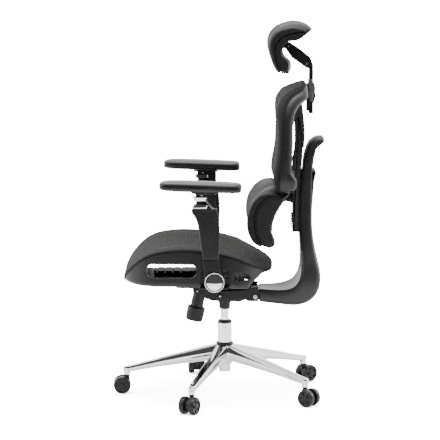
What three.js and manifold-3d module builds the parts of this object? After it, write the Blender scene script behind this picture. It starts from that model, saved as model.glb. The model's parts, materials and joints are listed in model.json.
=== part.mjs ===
// A swivel office chair with a five-star base, synchronised tilt, adjustable arms, back, lumbar
// support and headrest. Millimetres, +Z up. The sitter faces -Y and the sitter's left is +X.
// Heights and depths are first given from the floor under the column's axis; the last group then
// moves the whole chair so that the middle of its bounding box stands on the origin.
import * as THREE from 'three';
import { mergeVertices } from 'three/addons/utils/BufferGeometryUtils.js';
import Module from 'manifold-3d';

const wasm = await Module();
wasm.setup();

// ---------------------------------------------------------------- driving dimensions
const GAP = 0.4;                     // clearance kept between neighbouring pieces
const BASE_RADIUS = 345;             // column axis to caster stems
const LEG_COUNT = 5;
const FIRST_LEG = 35;                // degrees from +Y towards -X
const WHEEL = { radius: 30, width: 20, inner: 9, facets: 16 };   // inner: wheel's inner face from the middle
const CASTER_TRAIL = 17;             // stem axis to wheel axis
const CASTER_TURNS = [5, -10, 4, -9, 0];         // degrees, each caster's heading against its leg
const STEM = { radius: 5.5, bottom: 56, top: 87 };
const COLUMN = { tube: 25, tubeTop: 254, ringTop: 263, piston: 14, pistonTop: 345 };
const BACK_PIVOT = { y: -16, z: 358 };
const SEAT_PIVOT = { y: -95, z: 376 };
const BRACKET = { inner: 60.8, outer: 65 };      // side plates of the steel bracket, from the middle
const BACK_BOLT = { y: 106, z: 354 };
const RAIL = 75.5;                   // middle of the seat's slide rails, from the chair's middle
const KNOB = { y: -103.5, z: 285, tilt: 12, radius: 31, length: 51 };
const SEAT = { half: 250, front: -341, back: 165, wall: 24, cornerFront: 118, cornerBack: 122 };
const SEAT_MESH = { rise: 3, roll: 30, thick: 3, dip: 12, slope: 150 };
const ARM = { x: 316, half: 16, split: 528, top: 699, padZ: 760, padHalf: 47 };
const DISC = { y: -35, z: 450, radius: 33 };
const BACK = { half: 214, bottom: 744, top: 1106, wall: 30 };
const BACK_MESH = { thick: 3, roll: 26, bottom: 758, crown: 14 };
const SPINE_HALF = 38;
const POST = { y: 298.5, half: 18, depth: 14.5, bottom: 991, top: 1146 };
const HEAD_HINGE = { y: 284, z: 1164 };
const PAD_HINGE = { y: 220, z: 1224 };
const HEAD_HALF = 140;
const LUMBAR_HALF = 200;
const LUMBAR_HINGE = { y: 223.5, z: 697 };
const BOX_MIDDLE = { x: 0.6, y: -24.3 };   // middle of the bounding box, from the column's axis

// ---------------------------------------------------------------- materials
const looks = {
  chrome: new THREE.MeshStandardMaterial({ color: 0xdfe1e4, roughness: 0.07, metalness: 1 }),
  steel: new THREE.MeshStandardMaterial({ color: 0xa8abb0, roughness: 0.32, metalness: 1 }),
  black: new THREE.MeshStandardMaterial({ color: 0x1b1c1e, roughness: 0.55, metalness: 0.1 }),
  frame: new THREE.MeshStandardMaterial({ color: 0x3c3e41, roughness: 0.45, metalness: 0 }),
  cushion: new THREE.MeshStandardMaterial({ color: 0x343537, roughness: 0.75, metalness: 0 }),
  mesh: new THREE.MeshStandardMaterial({ color: 0x3d3c39, roughness: 0.9, metalness: 0 }),
  armpad: new THREE.MeshStandardMaterial({ color: 0x2c2d2f, roughness: 0.5, metalness: 0 }),
  wheel: new THREE.MeshStandardMaterial({ color: 0x242527, roughness: 0.4, metalness: 0 }),
};

// ---------------------------------------------------------------- small geometry helpers
const radians = THREE.MathUtils.degToRad;

function welded(geometry) {
  const bare = geometry.clone();
  for (const name of Object.keys(bare.attributes)) if (name !== 'position') bare.deleteAttribute(name);
  return mergeVertices(bare, 1e-4);
}

function solidOf(geometry) {
  const bare = welded(geometry);
  const vertProperties = new Float32Array(bare.attributes.position.array);
  const triVerts = new Uint32Array(bare.index.array);
  return new wasm.Manifold(new wasm.Mesh({ numProp: 3, vertProperties, triVerts }));
}

function geometryOf(solid) {
  const mesh = solid.getMesh();
  return indexed(mesh.vertProperties, mesh.triVerts);
}

function indexed(positions, triangles) {
  const geometry = new THREE.BufferGeometry();
  geometry.setAttribute('position', new THREE.Float32BufferAttribute(positions, 3));
  geometry.setIndex(Array.from(triangles));
  return geometry;
}

function join(...pieces) {
  return geometryOf(pieces.map(solidOf).reduce((sum, piece) => sum.add(piece)));
}

function cut(piece, ...tools) {
  return geometryOf(tools.map(solidOf).reduce((rest, tool) => rest.subtract(tool), solidOf(piece)));
}

function overlapOf(first, second) {
  return geometryOf(solidOf(first).intersect(solidOf(second)));
}

// Box given by its two corners.
function block([x0, y0, z0], [x1, y1, z1]) {
  const box = new THREE.BoxGeometry(x1 - x0, y1 - y0, z1 - z0);
  return box.translate((x0 + x1) / 2, (y0 + y1) / 2, (z0 + z1) / 2);
}

// Cylinder whose axis is 'x', 'y' or 'z', running from one coordinate to another on that axis.
function rod(axis, radius, from, to, at = [0, 0], sides = 24, endRadius = radius) {
  const cylinder = new THREE.CylinderGeometry(endRadius, radius, to - from, sides);
  cylinder.translate(0, (from + to) / 2, 0);
  if (axis === 'x') return cylinder.rotateZ(-Math.PI / 2).translate(0, at[0], at[1]);
  if (axis === 'z') return cylinder.rotateX(Math.PI / 2).translate(at[0], at[1], 0);
  return cylinder.translate(at[0], 0, at[1]);
}

// Turned piece about the Z axis, from [radius, height] points.
function turned(points, sides = 32) {
  const profile = points.map(([radius, height]) => new THREE.Vector2(radius, height));
  return outward(new THREE.LatheGeometry(profile, sides).rotateX(Math.PI / 2));
}

// Outline drawn as [y, z], pushed from x0 to x1.
function sideways(shape, x0, x1, curveSegments = 6) {
  const body = new THREE.ExtrudeGeometry(asShape(shape), { depth: x1 - x0, bevelEnabled: false,
    curveSegments });
  const turn = new THREE.Matrix4().makeBasis(
    new THREE.Vector3(0, 1, 0), new THREE.Vector3(0, 0, 1), new THREE.Vector3(1, 0, 0));
  return body.applyMatrix4(turn).translate(x0, 0, 0);
}

// Outline drawn as [x, z], pushed from y0 to y1.
function frontways(shape, y0, y1, curveSegments = 6) {
  const body = new THREE.ExtrudeGeometry(asShape(shape), { depth: y1 - y0, bevelEnabled: false,
    curveSegments });
  return body.rotateX(Math.PI / 2).translate(0, y1, 0);
}

// Outline drawn as [x, y], pushed from z0 to z1.
function upwards(shape, z0, z1, curveSegments = 6) {
  const body = new THREE.ExtrudeGeometry(asShape(shape), { depth: z1 - z0, bevelEnabled: false,
    curveSegments });
  return body.translate(0, 0, z0);
}

function asShape(outline) {
  if (outline instanceof THREE.Shape) return outline;
  return new THREE.Shape(outline.map(([a, b]) => new THREE.Vector2(a, b)));
}

// Rounded rectangle from corner to corner, with one radius for the low end and one for the high end.
function roundedRect(x0, y0, x1, y1, low, high = low) {
  const shape = new THREE.Shape();
  shape.moveTo(x0 + low, y0);
  shape.lineTo(x1 - low, y0);
  shape.absarc(x1 - low, y0 + low, low, -Math.PI / 2, 0);
  shape.lineTo(x1, y1 - high);
  shape.absarc(x1 - high, y1 - high, high, 0, Math.PI / 2);
  shape.lineTo(x0 + high, y1);
  shape.absarc(x0 + high, y1 - high, high, Math.PI / 2, Math.PI);
  shape.lineTo(x0, y0 + low);
  shape.absarc(x0 + low, y0 + low, low, Math.PI, Math.PI * 1.5);
  return shape;
}

// Smooth curve through a few points, as a list of points.
function smooth(points, count, closed = false) {
  const curve = new THREE.CatmullRomCurve3(
    points.map(([a, b, c = 0]) => new THREE.Vector3(a, b, c)), closed, 'centripetal');
  const samples = curve.getPoints(count).map((p) => [p.x, p.y, p.z]);
  return closed ? samples.slice(0, -1) : samples;
}

// Straight-line reading of a table of [key, value] pairs with rising keys.
function readAt(table, key) {
  if (key <= table[0][0]) return table[0][1];
  for (let i = 1; i < table.length; i += 1) {
    const [k0, v0] = table[i - 1];
    const [k1, v1] = table[i];
    if (key <= k1) return v0 + (v1 - v0) * (key - k0) / (k1 - k0);
  }
  return table[table.length - 1][1];
}

function signedVolume(positions, triangles) {
  const [a, b, c] = [new THREE.Vector3(), new THREE.Vector3(), new THREE.Vector3()];
  let volume = 0;
  for (let i = 0; i < triangles.length; i += 3) {
    a.fromArray(positions, triangles[i] * 3);
    b.fromArray(positions, triangles[i + 1] * 3);
    c.fromArray(positions, triangles[i + 2] * 3);
    volume += a.dot(b.cross(c));
  }
  return volume;
}

// The same closed body with its faces pointing out.
function outward(geometry) {
  const body = welded(geometry);
  const triangles = Array.from(body.index.array);
  if (signedVolume(body.attributes.position.array, triangles) < 0) {
    for (let i = 0; i < triangles.length; i += 3) {
      [triangles[i], triangles[i + 1]] = [triangles[i + 1], triangles[i]];
    }
  }
  const kept = [];
  for (let i = 0; i < triangles.length; i += 3) {
    const [p, q, r] = triangles.slice(i, i + 3);
    if (p !== q && q !== r && r !== p) kept.push(p, q, r);
  }
  return indexed(body.attributes.position.array, kept);
}

// Closed body through a row of rings, each a list of [x, y, z] with the same number of points.
function loft(rings) {
  const size = rings[0].length;
  const triangles = [];
  for (let i = 0; i + 1 < rings.length; i += 1) {
    for (let j = 0; j < size; j += 1) {
      const here = i * size + j;
      const next = i * size + (j + 1) % size;
      triangles.push(here, next, next + size, here, next + size, here + size);
    }
  }
  triangles.push(...cap(rings[0], 0, true));
  triangles.push(...cap(rings[rings.length - 1], (rings.length - 1) * size, false));
  return outward(indexed(rings.flat(2), triangles));
}

function cap(ring, offset, backwards) {
  const spans = [0, 1, 2].map((k) => Math.max(...ring.map((p) => p[k])) - Math.min(...ring.map((p) => p[k])));
  const drop = spans.indexOf(Math.min(...spans));
  const [k, m] = [0, 1, 2].filter((n) => n !== drop);
  const flat = ring.map((p) => new THREE.Vector2(p[k], p[m]));
  const area = (points) => THREE.ShapeUtils.area(points);
  const turn = Math.sign(area(flat)) * (backwards ? -1 : 1);
  return THREE.ShapeUtils.triangulateShape(flat, []).flatMap(([a, b, c]) => {
    const same = Math.sign(area([flat[a], flat[b], flat[c]])) * turn * (backwards ? -1 : 1) > 0;
    const forward = backwards ? !same : same;
    return forward ? [a + offset, b + offset, c + offset] : [a + offset, c + offset, b + offset];
  });
}

// Thin closed sheet: a grid of surface points and the same grid moved by `step` to its hidden side.
function sheet(rows, step) {
  const [m, n] = [rows.length, rows[0].length];
  const under = rows.map((row) => row.map((point) => point.map((value, axis) => value + step[axis])));
  const rim = [];
  for (let j = 0; j < n - 1; j += 1) rim.push([0, j]);
  for (let i = 0; i < m - 1; i += 1) rim.push([i, n - 1]);
  for (let j = n - 1; j > 0; j -= 1) rim.push([m - 1, j]);
  for (let i = m - 1; i > 0; i -= 1) rim.push([i, 0]);
  const triangles = [];
  for (let i = 0; i + 1 < m; i += 1) {
    for (let j = 0; j + 1 < n; j += 1) {
      const a = i * n + j;
      triangles.push(a, a + 1, a + n + 1, a, a + n + 1, a + n);
      const b = a + m * n;
      triangles.push(b, b + n + 1, b + 1, b, b + n, b + n + 1);
    }
  }
  rim.forEach(([i, j], k) => {
    const [i2, j2] = rim[(k + 1) % rim.length];
    const [a, b] = [i * n + j, i2 * n + j2];
    triangles.push(b, a, a + m * n, b, a + m * n, b + m * n);
  });
  return outward(indexed([...rows.flat(2), ...under.flat(2)], triangles));
}

function mirrored(geometry) {
  return outward(geometry.clone().applyMatrix4(new THREE.Matrix4().makeScale(-1, 1, 1)));
}

const chair = new THREE.Group();

function add(name, geometry, look, parent = chair) {
  const faceted = geometry.index ? geometry.toNonIndexed() : geometry;
  faceted.computeVertexNormals();
  const mesh = new THREE.Mesh(faceted, looks[look].clone());
  mesh.name = name;
  parent.add(mesh);
  return mesh;
}

// ---------------------------------------------------------------- five-star base
const tubeRadiusAt = (z) => readAt([[84, 20.6], [176, COLUMN.tube]], z);

function legRing(y, width, low, high) {
  const tall = high - low;
  const half = [[0.40, 0], [0.50, 0.42], [0.42, 0.86], [0.24, 1]].map(([w, t]) => [w * width,
    low + t * tall]);
  const right = half.map(([x, z]) => [x, y, z]);
  const left = half.map(([x, z]) => [-x, y, z]).reverse();
  return [...right, ...left];
}

function starBase() {
  const hub = turned([
    [20, 84], [24.6, 84], [27, 112], [38, 124], [40, 150], [38.5, 172], [33, 178], [20, 178], [20, 84],
  ], 28);
  const pieces = [hub];
  for (let k = 0; k < LEG_COUNT; k += 1) {
    const leg = loft([
      legRing(29, 46, 122, 176), legRing(120, 37, 110, 153), legRing(230, 30, 94, 125.5), legRing(332,
        25, 75, 99),
      legRing(352, 21, 74, 94),
    ]);
    const socket = rod('z', 10.5, 70, 90, [0, BASE_RADIUS], 12);
    for (const piece of [leg, socket]) {
      pieces.push(piece.rotateZ(radians(FIRST_LEG + k * 360 / LEG_COUNT)));
    }
  }
  const bores = [];
  for (let k = 0; k < LEG_COUNT; k += 1) {
    const bore = rod('z', STEM.radius + GAP, 60, STEM.top + 1, [0, BASE_RADIUS], 10);
    bores.push(bore.rotateZ(radians(FIRST_LEG + k * 360 / LEG_COUNT)));
  }
  const well = turned([[0, 60], [tubeRadiusAt(84) + GAP, 60], [tubeRadiusAt(84) + GAP, 84],
    [COLUMN.tube + GAP, 176], [COLUMN.tube + GAP, 200], [0, 200]], 28);
  return cut(join(...pieces), well, ...bores);
}

function gasTube() {
  return turned([
    [15.2, 80], [20.2, 80], [20.6, 84], [COLUMN.tube, 176], [COLUMN.tube, COLUMN.tubeTop - 1],
    [COLUMN.tube - 1, COLUMN.tubeTop], [15.2, COLUMN.tubeTop], [15.2, 80],
  ], 28);
}

function gasTubeRing() {
  const low = COLUMN.tubeTop + GAP;
  return turned([
    [14.5, low], [24.4, low], [25.4, low + 2], [25.4, COLUMN.ringTop - 3], [23, COLUMN.ringTop],
    [14.5, COLUMN.ringTop], [14.5, low],
  ], 20);
}

function gasPiston() {
  return turned([
    [0, 140], [COLUMN.piston - 1, 140], [COLUMN.piston, 141], [COLUMN.piston, 304],
      [12.8, COLUMN.pistonTop],
    [0, COLUMN.pistonTop],
  ], 20);
}

add('star_base', starBase(), 'chrome');
add('gas_tube', gasTube(), 'chrome');
add('gas_tube_ring', gasTubeRing(), 'black');
add('gas_piston', gasPiston(), 'steel');

// ---------------------------------------------------------------- casters
// Drawn with the stem on the Z axis and the wheels trailing towards +Y, axle along X.
function casterHood() {
  const axle = { y: CASTER_TRAIL, z: WHEEL.radius };
  const cheek = WHEEL.inner - GAP;
  const arch = new THREE.Shape();
  arch.moveTo(-10, 56);
  arch.lineTo(-10, 40);
  arch.lineTo(axle.y - 17, axle.z - 12);
  arch.absarc(axle.y, axle.z, 20, Math.PI * 1.22, Math.PI * 2.32);
  arch.lineTo(10, 56);
  const body = sideways(arch, -cheek, cheek, 4);
  const neck = rod('z', 8.4, 50, 62, [0, 0], 12);
  const flange = rod('z', 10.5, WHEEL.radius * 2 + 1, 68, [0, 0], 12);
  const stem = rod('z', STEM.radius, STEM.bottom, STEM.top, [0, 0], 12);
  const pin = rod('x', 4, -WHEEL.inner - 14, WHEEL.inner + 14, [axle.y, axle.z], 10);
  return join(body, neck, flange, stem, pin);
}

// One wheel with its outer face towards +X: a dished cover, a tread of flat facets with one of them
// on the floor, and a blind hole for the axle.
function casterWheel() {
  const { radius, width, inner, facets } = WHEEL;
  const bore = 4 + GAP;
  const tread = radius / Math.cos(Math.PI / facets);
  const points = [
    [0, width - 3], [21, width - 3], [24, width - 0.8], [26.5, width], [tread, width - 4], [tread, 3], [26, 0],
    [bore, 0], [bore, 15], [0, 15],
  ];
  const wheel = turned(points, facets).rotateZ(Math.PI / facets);
  return wheel.rotateY(Math.PI / 2).translate(inner, CASTER_TRAIL, radius);
}

for (let k = 0; k < LEG_COUNT; k += 1) {
  const leg = new THREE.Group();
  leg.rotation.z = radians(FIRST_LEG + k * 360 / LEG_COUNT);
  const caster = new THREE.Group();
  caster.position.set(0, BASE_RADIUS, 0);
  caster.rotation.z = radians(CASTER_TURNS[k]);
  leg.add(caster);
  chair.add(leg);
  const number = k + 1;
  add(`caster_hood_${number}`, casterHood(), 'black', caster);
  add(`caster_wheel_left_${number}`, casterWheel(), 'wheel', caster);
  add(`caster_wheel_right_${number}`, mirrored(casterWheel()), 'wheel', caster);
}

// ---------------------------------------------------------------- tilt mechanism
function tiltHousing() {
  const side = [
    [-112, 384], [-112, 373], [-104, 368], [-66, 347], [-44, 339], [56, 336], [62, 341], [69, 341],
      [73, 346], [76, 356],
    [76, 384],
  ];
  const shell = sideways(side, -58, 58);
  const collar = turned([[0, 302], [17, 302], [20, 306], [20.5, 322], [27, 338], [0, 345]], 20);
  const boss = rod('x', 13, -60, 60, [BACK_PIVOT.y, BACK_PIVOT.z], 16);
  const socket = turned([[0, 295], [COLUMN.piston + GAP, 295], [COLUMN.piston + GAP, 303.8],
    [12.8 + GAP, 345.6], [0, 345.6]], 20);
  const backBore = rod('x', 6 + GAP, -70, 70, [BACK_PIVOT.y, BACK_PIVOT.z], 16);
  const seatBore = rod('x', 5 + GAP, -70, 70, [SEAT_PIVOT.y, SEAT_PIVOT.z], 16);
  const pocket = [block([-62, -84, 358], [-54, -62, 374]), block([-62, -56, 344], [-54, -37, 360])];
  const windows = [-1, 1].map((s) => rod('x', 4, s > 0 ? 54 : -62, s > 0 ? 62 : -54, [34, 353], 10));
  return cut(join(shell, collar, boss), socket, backBore, seatBore, ...pocket, ...windows);
}

// Cross pin of half length `half` with a flat head at each end.
function pivotPin(radius, half, head, headHeight, at) {
  const pin = rod('x', radius, -half - 0.5, half + 0.5, [at.y, at.z], 12);
  const rightHead = rod('x', head, half, half + headHeight, [at.y, at.z], 12);
  return join(pin, rightHead, mirrored(rightHead));
}

// Along the knob's leaning axis, from its middle.
function leaning(geometry) {
  return geometry.rotateX(-radians(KNOB.tilt)).translate(0, KNOB.y, KNOB.z);
}

function tensionTube() {
  const tube = leaning(turned([[0, 15], [22, 15], [22.5, 16], [22.5, 100], [0, 100]], 24));
  const above = sideways([[-160, 400], [-160, 367], [-112, 372.5], [-104, 367.5], [-66, 346.5],
    [-44, 338.5], [0, 330], [0, 400]], -50, 50);
  const rodHole = leaning(rod('z', 6.5, 0, 60, [0, 0], 12));
  return cut(tube, above, rodHole);
}

function tensionKnob() {
  const half = KNOB.length / 2;
  const cup = turned([
    [0, -half], [26, -half], [29, -half + 2.5], [30, -half + 8], [KNOB.radius, half - 12],
      [KNOB.radius, half - 1.5],
    [KNOB.radius - 1.5, half], [23.4, half], [23.4, 14], [0, 14],
  ], 22);
  const screw = rod('z', 5.5, 10, 50, [0, 0], 12);
  return leaning(join(cup, screw));
}

// Lever on the sitter's right: a round arm out of the housing with a flat paddle.
function lever(y, z, reach, sweep) {
  const path = new THREE.CatmullRomCurve3([
    new THREE.Vector3(-56, y, z), new THREE.Vector3(-90, y, z), new THREE.Vector3(-reach + 60,
      y + sweep, z),
    new THREE.Vector3(-reach + 30, y + sweep, z),
  ]);
  const circle = new THREE.Shape().absarc(0, 0, 4.5, 0, Math.PI * 2);
  const arm = new THREE.ExtrudeGeometry(circle, { steps: 8, extrudePath: path, curveSegments: 4 });
  const paddle = upwards(roundedRect(-reach, y + sweep - 11, -reach + 62, y + sweep + 11, 9), z - 4.5,
    z + 4.5, 3);
  return join(outward(arm), paddle);
}

add('tilt_housing', tiltHousing(), 'black');
add('back_pivot_pin', pivotPin(6, 66, 8, 4, BACK_PIVOT), 'steel');
add('seat_pivot_pin', pivotPin(5, 66, 7, 3, SEAT_PIVOT), 'steel');
add('tension_tube', tensionTube(), 'black');
add('tension_knob', tensionKnob(), 'black');
add('lift_lever', lever(-73, 366, 240, -22), 'black');
add('tilt_lever', lever(-46, 352, 205, 14), 'black');

// ---------------------------------------------------------------- seat carrier and seat
// U-shaped steel plate: its two arms swing down past the housing as the seat tilts.
function seatCarrier() {
  const plate = upwards(roundedRect(-84, -170, 84, 70, 16), 387.5, 396, 3);
  const throat = block([-67, -88, 380], [67, 80, 410]);
  const ears = [-1, 1].map((s) => {
    const inner = s > 0 ? BRACKET.inner : -BRACKET.outer;
    return sideways([[-112, 388], [-106, 366], [-84, 366], [-76, 388]],
      inner, inner + BRACKET.outer - BRACKET.inner);
  });
  const rails = [-1, 1].map((s) => block([s * RAIL - 8, -164, 395], [s * RAIL + 8, 54, 402]));
  const links = [-1, 1].map((s) => sideways([[40, 388], [40, 394], [66, 392], [108, 387], [108, 382],
    [72, 385.5], [56, 388]],
    s * 77 - 3.5, s * 77 + 3.5));
  const bore = rod('x', 5 + GAP, -80, 80, [SEAT_PIVOT.y, SEAT_PIVOT.z], 16);
  return cut(join(cut(plate, throat), ...ears, ...rails, ...links), bore);
}

// Height of the seam between the mesh and the plastic frame, read along the seat.
const SEAM = smooth([
  [-341, 452], [-323, 470], [-292, 506], [-250, 531], [-195, 541.5], [-140, 543.5], [-85, 540],
    [-18, 530],
  [36, 516], [84, 500], [126, 482], [150, 469], [165, 457],
], 16).map(([y, z]) => [y, z]);

const seamHeight = (y) => readAt(SEAM, y);

function seatPlan(inset) {
  const { half, front, back, cornerFront, cornerBack } = SEAT;
  return roundedRect(-half + inset, front + inset, half - inset, back - inset, cornerFront - inset,
    cornerBack - inset);
}

// Half width of the seat's outline at a depth y.
function seatHalfWidth(y) {
  const { half, front, back, cornerFront, cornerBack } = SEAT;
  const inFront = Math.max(0, front + cornerFront - y);
  const behind = Math.max(0, y - (back - cornerBack));
  if (inFront > 0) return half - cornerFront + Math.sqrt(Math.max(0, cornerFront ** 2 - inFront ** 2));
  return half - cornerBack + Math.sqrt(Math.max(0, cornerBack ** 2 - behind ** 2));
}

function seatFrame() {
  const bottom = [[160, 450], [148, 450], [140, 446], [118, 431], [104, 419], [96, 412], [-150, 418],
    [-280, 420], [-305, 427], [-341, 447]];
  const body = sideways([...SEAM, ...bottom], -SEAT.half - 5, SEAT.half + 5);
  const wall = upwards(seatPlan(0), 400, 560, 6);
  const inside = upwards(seatPlan(SEAT.wall), 400, 560, 6);
  const slot = sideways(roundedRect(-268, 449, -96, 500, 24), -270, 270, 4);
  const spring = sideways([[29, 442], [29, 454], [40, 467], [52, 470], [78, 463], [87, 454], [84, 445],
    [76, 442]], -270, 270);
  const recess = [-1, 1].map((s) => {
    const [from, to] = s > 0 ? [239, 260] : [-260, -239];
    return sideways([[-78, 405], [-78, 478], [12, 478], [12, 405]], from, to);
  });
  const armGap = block([-270, -83, 400], [270, 17, 453]);
  return cut(overlapOf(body, wall), inside, slot, spring, armGap, ...recess);
}

function seatMesh() {
  const across = 10;
  const rows = SEAM.map(([y]) => {
    const half = Math.max(seatHalfWidth(y), SEAT.half - SEAT.cornerFront) - 1;
    return Array.from({ length: across + 1 }, (_, j) => {
      const u = Math.sin((j / across - 0.5) * Math.PI);
      const edge = Math.min((1 - Math.abs(u)) * half, y - SEAT.front, SEAT.back - y);
      const near = Math.min(Math.max(edge, 0) / SEAT_MESH.roll, 1);
      const inside = THREE.MathUtils.clamp((edge - SEAT.wall - 4) / SEAT_MESH.slope, 0, 1);
      const lift = SEAT_MESH.rise * Math.sqrt(1 - (1 - near) ** 2) - SEAT_MESH.dip * (1 - u * u) * inside;
      return [u * half, y, seamHeight(y) + SEAT_MESH.thick + 1 + lift];
    });
  });
  return sheet(rows, [0, 0, -SEAT_MESH.thick]);
}

// Ribbed pan under the mesh: it runs on the carrier's rails and holds the frame by two cross bars.
function seatPan() {
  const plate = upwards(roundedRect(-112, -296, 112, 40, 20), 424, 430, 3);
  const core = upwards(roundedRect(-48, -246, 48, -100, 16), 428, 443, 3);
  const grooves = [-1, 0, 1, 2].map((k) => block([-60, -212 + k * 28, 436], [60, -206 + k * 28, 450]));
  const shoes = [-1, 1].map((s) => block([s * RAIL - 13, -158, 403], [s * RAIL + 13, 40, 426]));
  const tail = block([-112, 30, 424], [112, 100, 430]);
  const bars = join(block([-240, -300, 424], [240, -274, 438]), block([-240, 21, 424], [240, 44, 434]));
  const inside = upwards(seatPlan(SEAT.wall + GAP), 400, 560, 6);
  return join(cut(join(plate, core, ...shoes, tail), ...grooves), overlapOf(bars, inside));
}

add('seat_carrier', seatCarrier(), 'black');
add('seat_frame', seatFrame(), 'frame');
add('seat_mesh', seatMesh(), 'mesh');
add('seat_pan', seatPan(), 'black');

// ---------------------------------------------------------------- arms
// Drawn for the sitter's left at +X, and mirrored for the right.
function armBracket() {
  const inner = ARM.x - ARM.half + 2;
  const beam = frontways([
    [84.5, 388], [84.5, 399], [116, 404], [138, 440], [ARM.x, 444], [ARM.x, 422], [152, 418], [130, 388],
  ], -58, -10);
  const root = block([84.5, -90, 388], [110, 10, 396]);
  const post = sideways([
    [-60, 424], [-12, 424], [-4, 440], [-8, 462], [-18, 500], [-20.5, ARM.split - GAP],
      [-74, ARM.split - GAP], [-70, 480],
    [-67, 452], [-66, 436],
  ], inner, ARM.x + ARM.half - 2);
  const face = rod('x', 31, ARM.x, ARM.x + ARM.half, [DISC.y, DISC.z], 24);
  return join(beam, root, post, face);
}

function armCap() {
  const x = ARM.x + ARM.half + GAP;
  const ring = turned([[0, 0], [DISC.radius, 0], [DISC.radius, 3.6], [30.6, 5.4], [29, 4.4], [0, 5.2]],
    28);
  return ring.rotateY(Math.PI / 2).translate(x, DISC.y, DISC.z);
}

const uprightSide = [
  [-20.5, ARM.split], [-17.5, 590], [-19, 650], [-26, 690], [-28, ARM.top], [-108, ARM.top],
    [-112.5, 694], [-110, 686],
  [-99, 668], [-91, 645], [-85.5, 610], [-80, 570], [-74, ARM.split],
];

const sliderRect = { front: -98, back: -40, inner: ARM.x - 9, outer: ARM.x + 9 };

function armUpright() {
  const { front, back, inner, outer } = sliderRect;
  const body = sideways(uprightSide, ARM.x - ARM.half, ARM.x + ARM.half);
  const well = sideways([[front + 30, 566], [back + GAP, 566], [back + GAP, 720], [front - GAP, 720],
    [front - GAP, 668], [front + 12, 600]],
    inner - GAP, outer + GAP);
  return cut(body, well);
}

function armSlider() {
  const { front, back, inner, outer } = sliderRect;
  const stem = sideways([[front + 32, 590], [back, 590], [back, 747], [front, 747], [front, 676],
    [front + 14, 612]], inner, outer);
  const rear = block([ARM.x - 13, -62, ARM.top + GAP], [ARM.x + 13, -30, 747]);
  return join(stem, rear);
}

// Bright sleeve round the front of the slider: a slanting foot and a band above it.
function armCollar() {
  const { front, inner, outer } = sliderRect;
  const foot = sideways([[-62.5, ARM.top + GAP], [-62.5, 716], [-104, 713], [-109, 706],
    [-110, ARM.top + GAP]], ARM.x - 15, ARM.x + 15);
  const band = sideways([[-62.5, 726], [-62.5, 735], [-104, 738], [-104, 728]], ARM.x - 14, ARM.x + 14);
  const webs = [-11, 11].map((x) => block([ARM.x + x - 1.4, -80, 701], [ARM.x + x + 1.4, -66, 732]));
  const hole = sideways([[front - GAP, 690], [-50, 690], [-50, 750], [front - GAP, 750]],
    inner - GAP, outer + GAP);
  return cut(join(foot, band, ...webs), hole);
}

function armPadBase() {
  const plate = upwards(roundedRect(ARM.x - 30, -112, ARM.x + 30, -24, 12), 752, ARM.padZ - GAP, 2);
  const neck = upwards(roundedRect(ARM.x - 15, -100, ARM.x + 15, -40, 6), 747 + GAP, 753, 2);
  return join(plate, neck);
}

// Cushioned pad: rounded-rectangle rings along the pad, thin and narrow towards the front.
function armPad() {
  const stations = [
    [-220, 0.62, 6, 20], [-216, 0.74, 4, 24], [-206, 0.84, 2, 28.5], [-180, 0.93, 0, 31],
      [-120, 0.99, 0, 31.5], [-40, 1, 0, 30.5],
    [20, 0.97, 0, 30], [42, 0.9, 0.4, 29], [51, 0.8, 2, 27], [55, 0.66, 5, 24],
  ];
  const rings = stations.map(([y, wide, low, high]) => {
    const half = ARM.padHalf * wide;
    const z0 = ARM.padZ + low;
    const z1 = ARM.padZ + high;
    const tall = z1 - z0;
    const right = [[0.84, 0], [0.97, 0.22], [1, 0.52], [0.93, 0.82], [0.76, 0.96], [0.4, 1]];
    const points = right.map(([w, t]) => [w * half, z0 + t * tall]);
    return [...points.map(([x, z]) => [ARM.x + x, y, z]), ...points.reverse().map(([x,
      z]) => [ARM.x - x, y, z])];
  });
  return loft(rings);
}

const armPieces = {
  bracket: [armBracket, 'black'], cap: [armCap, 'chrome'], upright: [armUpright, 'frame'],
    slider: [armSlider, 'black'],
  collar: [armCollar, 'chrome'], pad_base: [armPadBase, 'black'], pad: [armPad, 'armpad'],
};

for (const [piece, [build, look]] of Object.entries(armPieces)) {
  add(`arm_${piece}_left`, build(), look);
  add(`arm_${piece}_right`, mirrored(build()), look);
}

// ---------------------------------------------------------------- back frame
// Steel bracket from the tilt axis to the plastic frame's tongue.
function backBracket() {
  const { inner, outer } = BRACKET;
  const side = [[-34, 345], [-34, 371], [-22, 376], [50, 379], [117, 390], [117, 338.5], [80, 338.5],
    [72, 345]];
  const plates = [sideways(side, inner, outer), sideways(side, -outer, -inner)];
  const web = block([-inner - 1, 84, 338.5], [inner + 1, 117, 342.5]);
  const bore = rod('x', 6 + GAP, -80, 80, [BACK_PIVOT.y, BACK_PIVOT.z], 16);
  const boltBore = rod('x', 4.5 + GAP, -80, 80, [BACK_BOLT.y, BACK_BOLT.z], 14);
  return cut(join(...plates, web), bore, boltBore);
}

// The same stations with `extra` smooth ones between each two.
function finer(stations, extra) {
  const keys = Object.keys(stations[0]);
  const flatOf = (station) => keys.flatMap((key) => station[key]);
  const count = (stations.length - 1) * (extra + 1);
  const values = stations.map(flatOf);
  const curves = values[0].map((_, k) => new THREE.SplineCurve(values.map((v,
    i) => new THREE.Vector2(i, v[k]))));
  return Array.from({ length: count + 1 }, (_, i) => {
    const read = curves.map((curve) => curve.getPoint(i / count).y);
    const [y, z, outY, outZ, ...rest] = read;
    const named = Object.fromEntries(keys.slice(2).map((key, k) => [key, rest[k]]));
    return { at: [y, z], out: [outY, outZ], ...named };
  });
}

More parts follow.
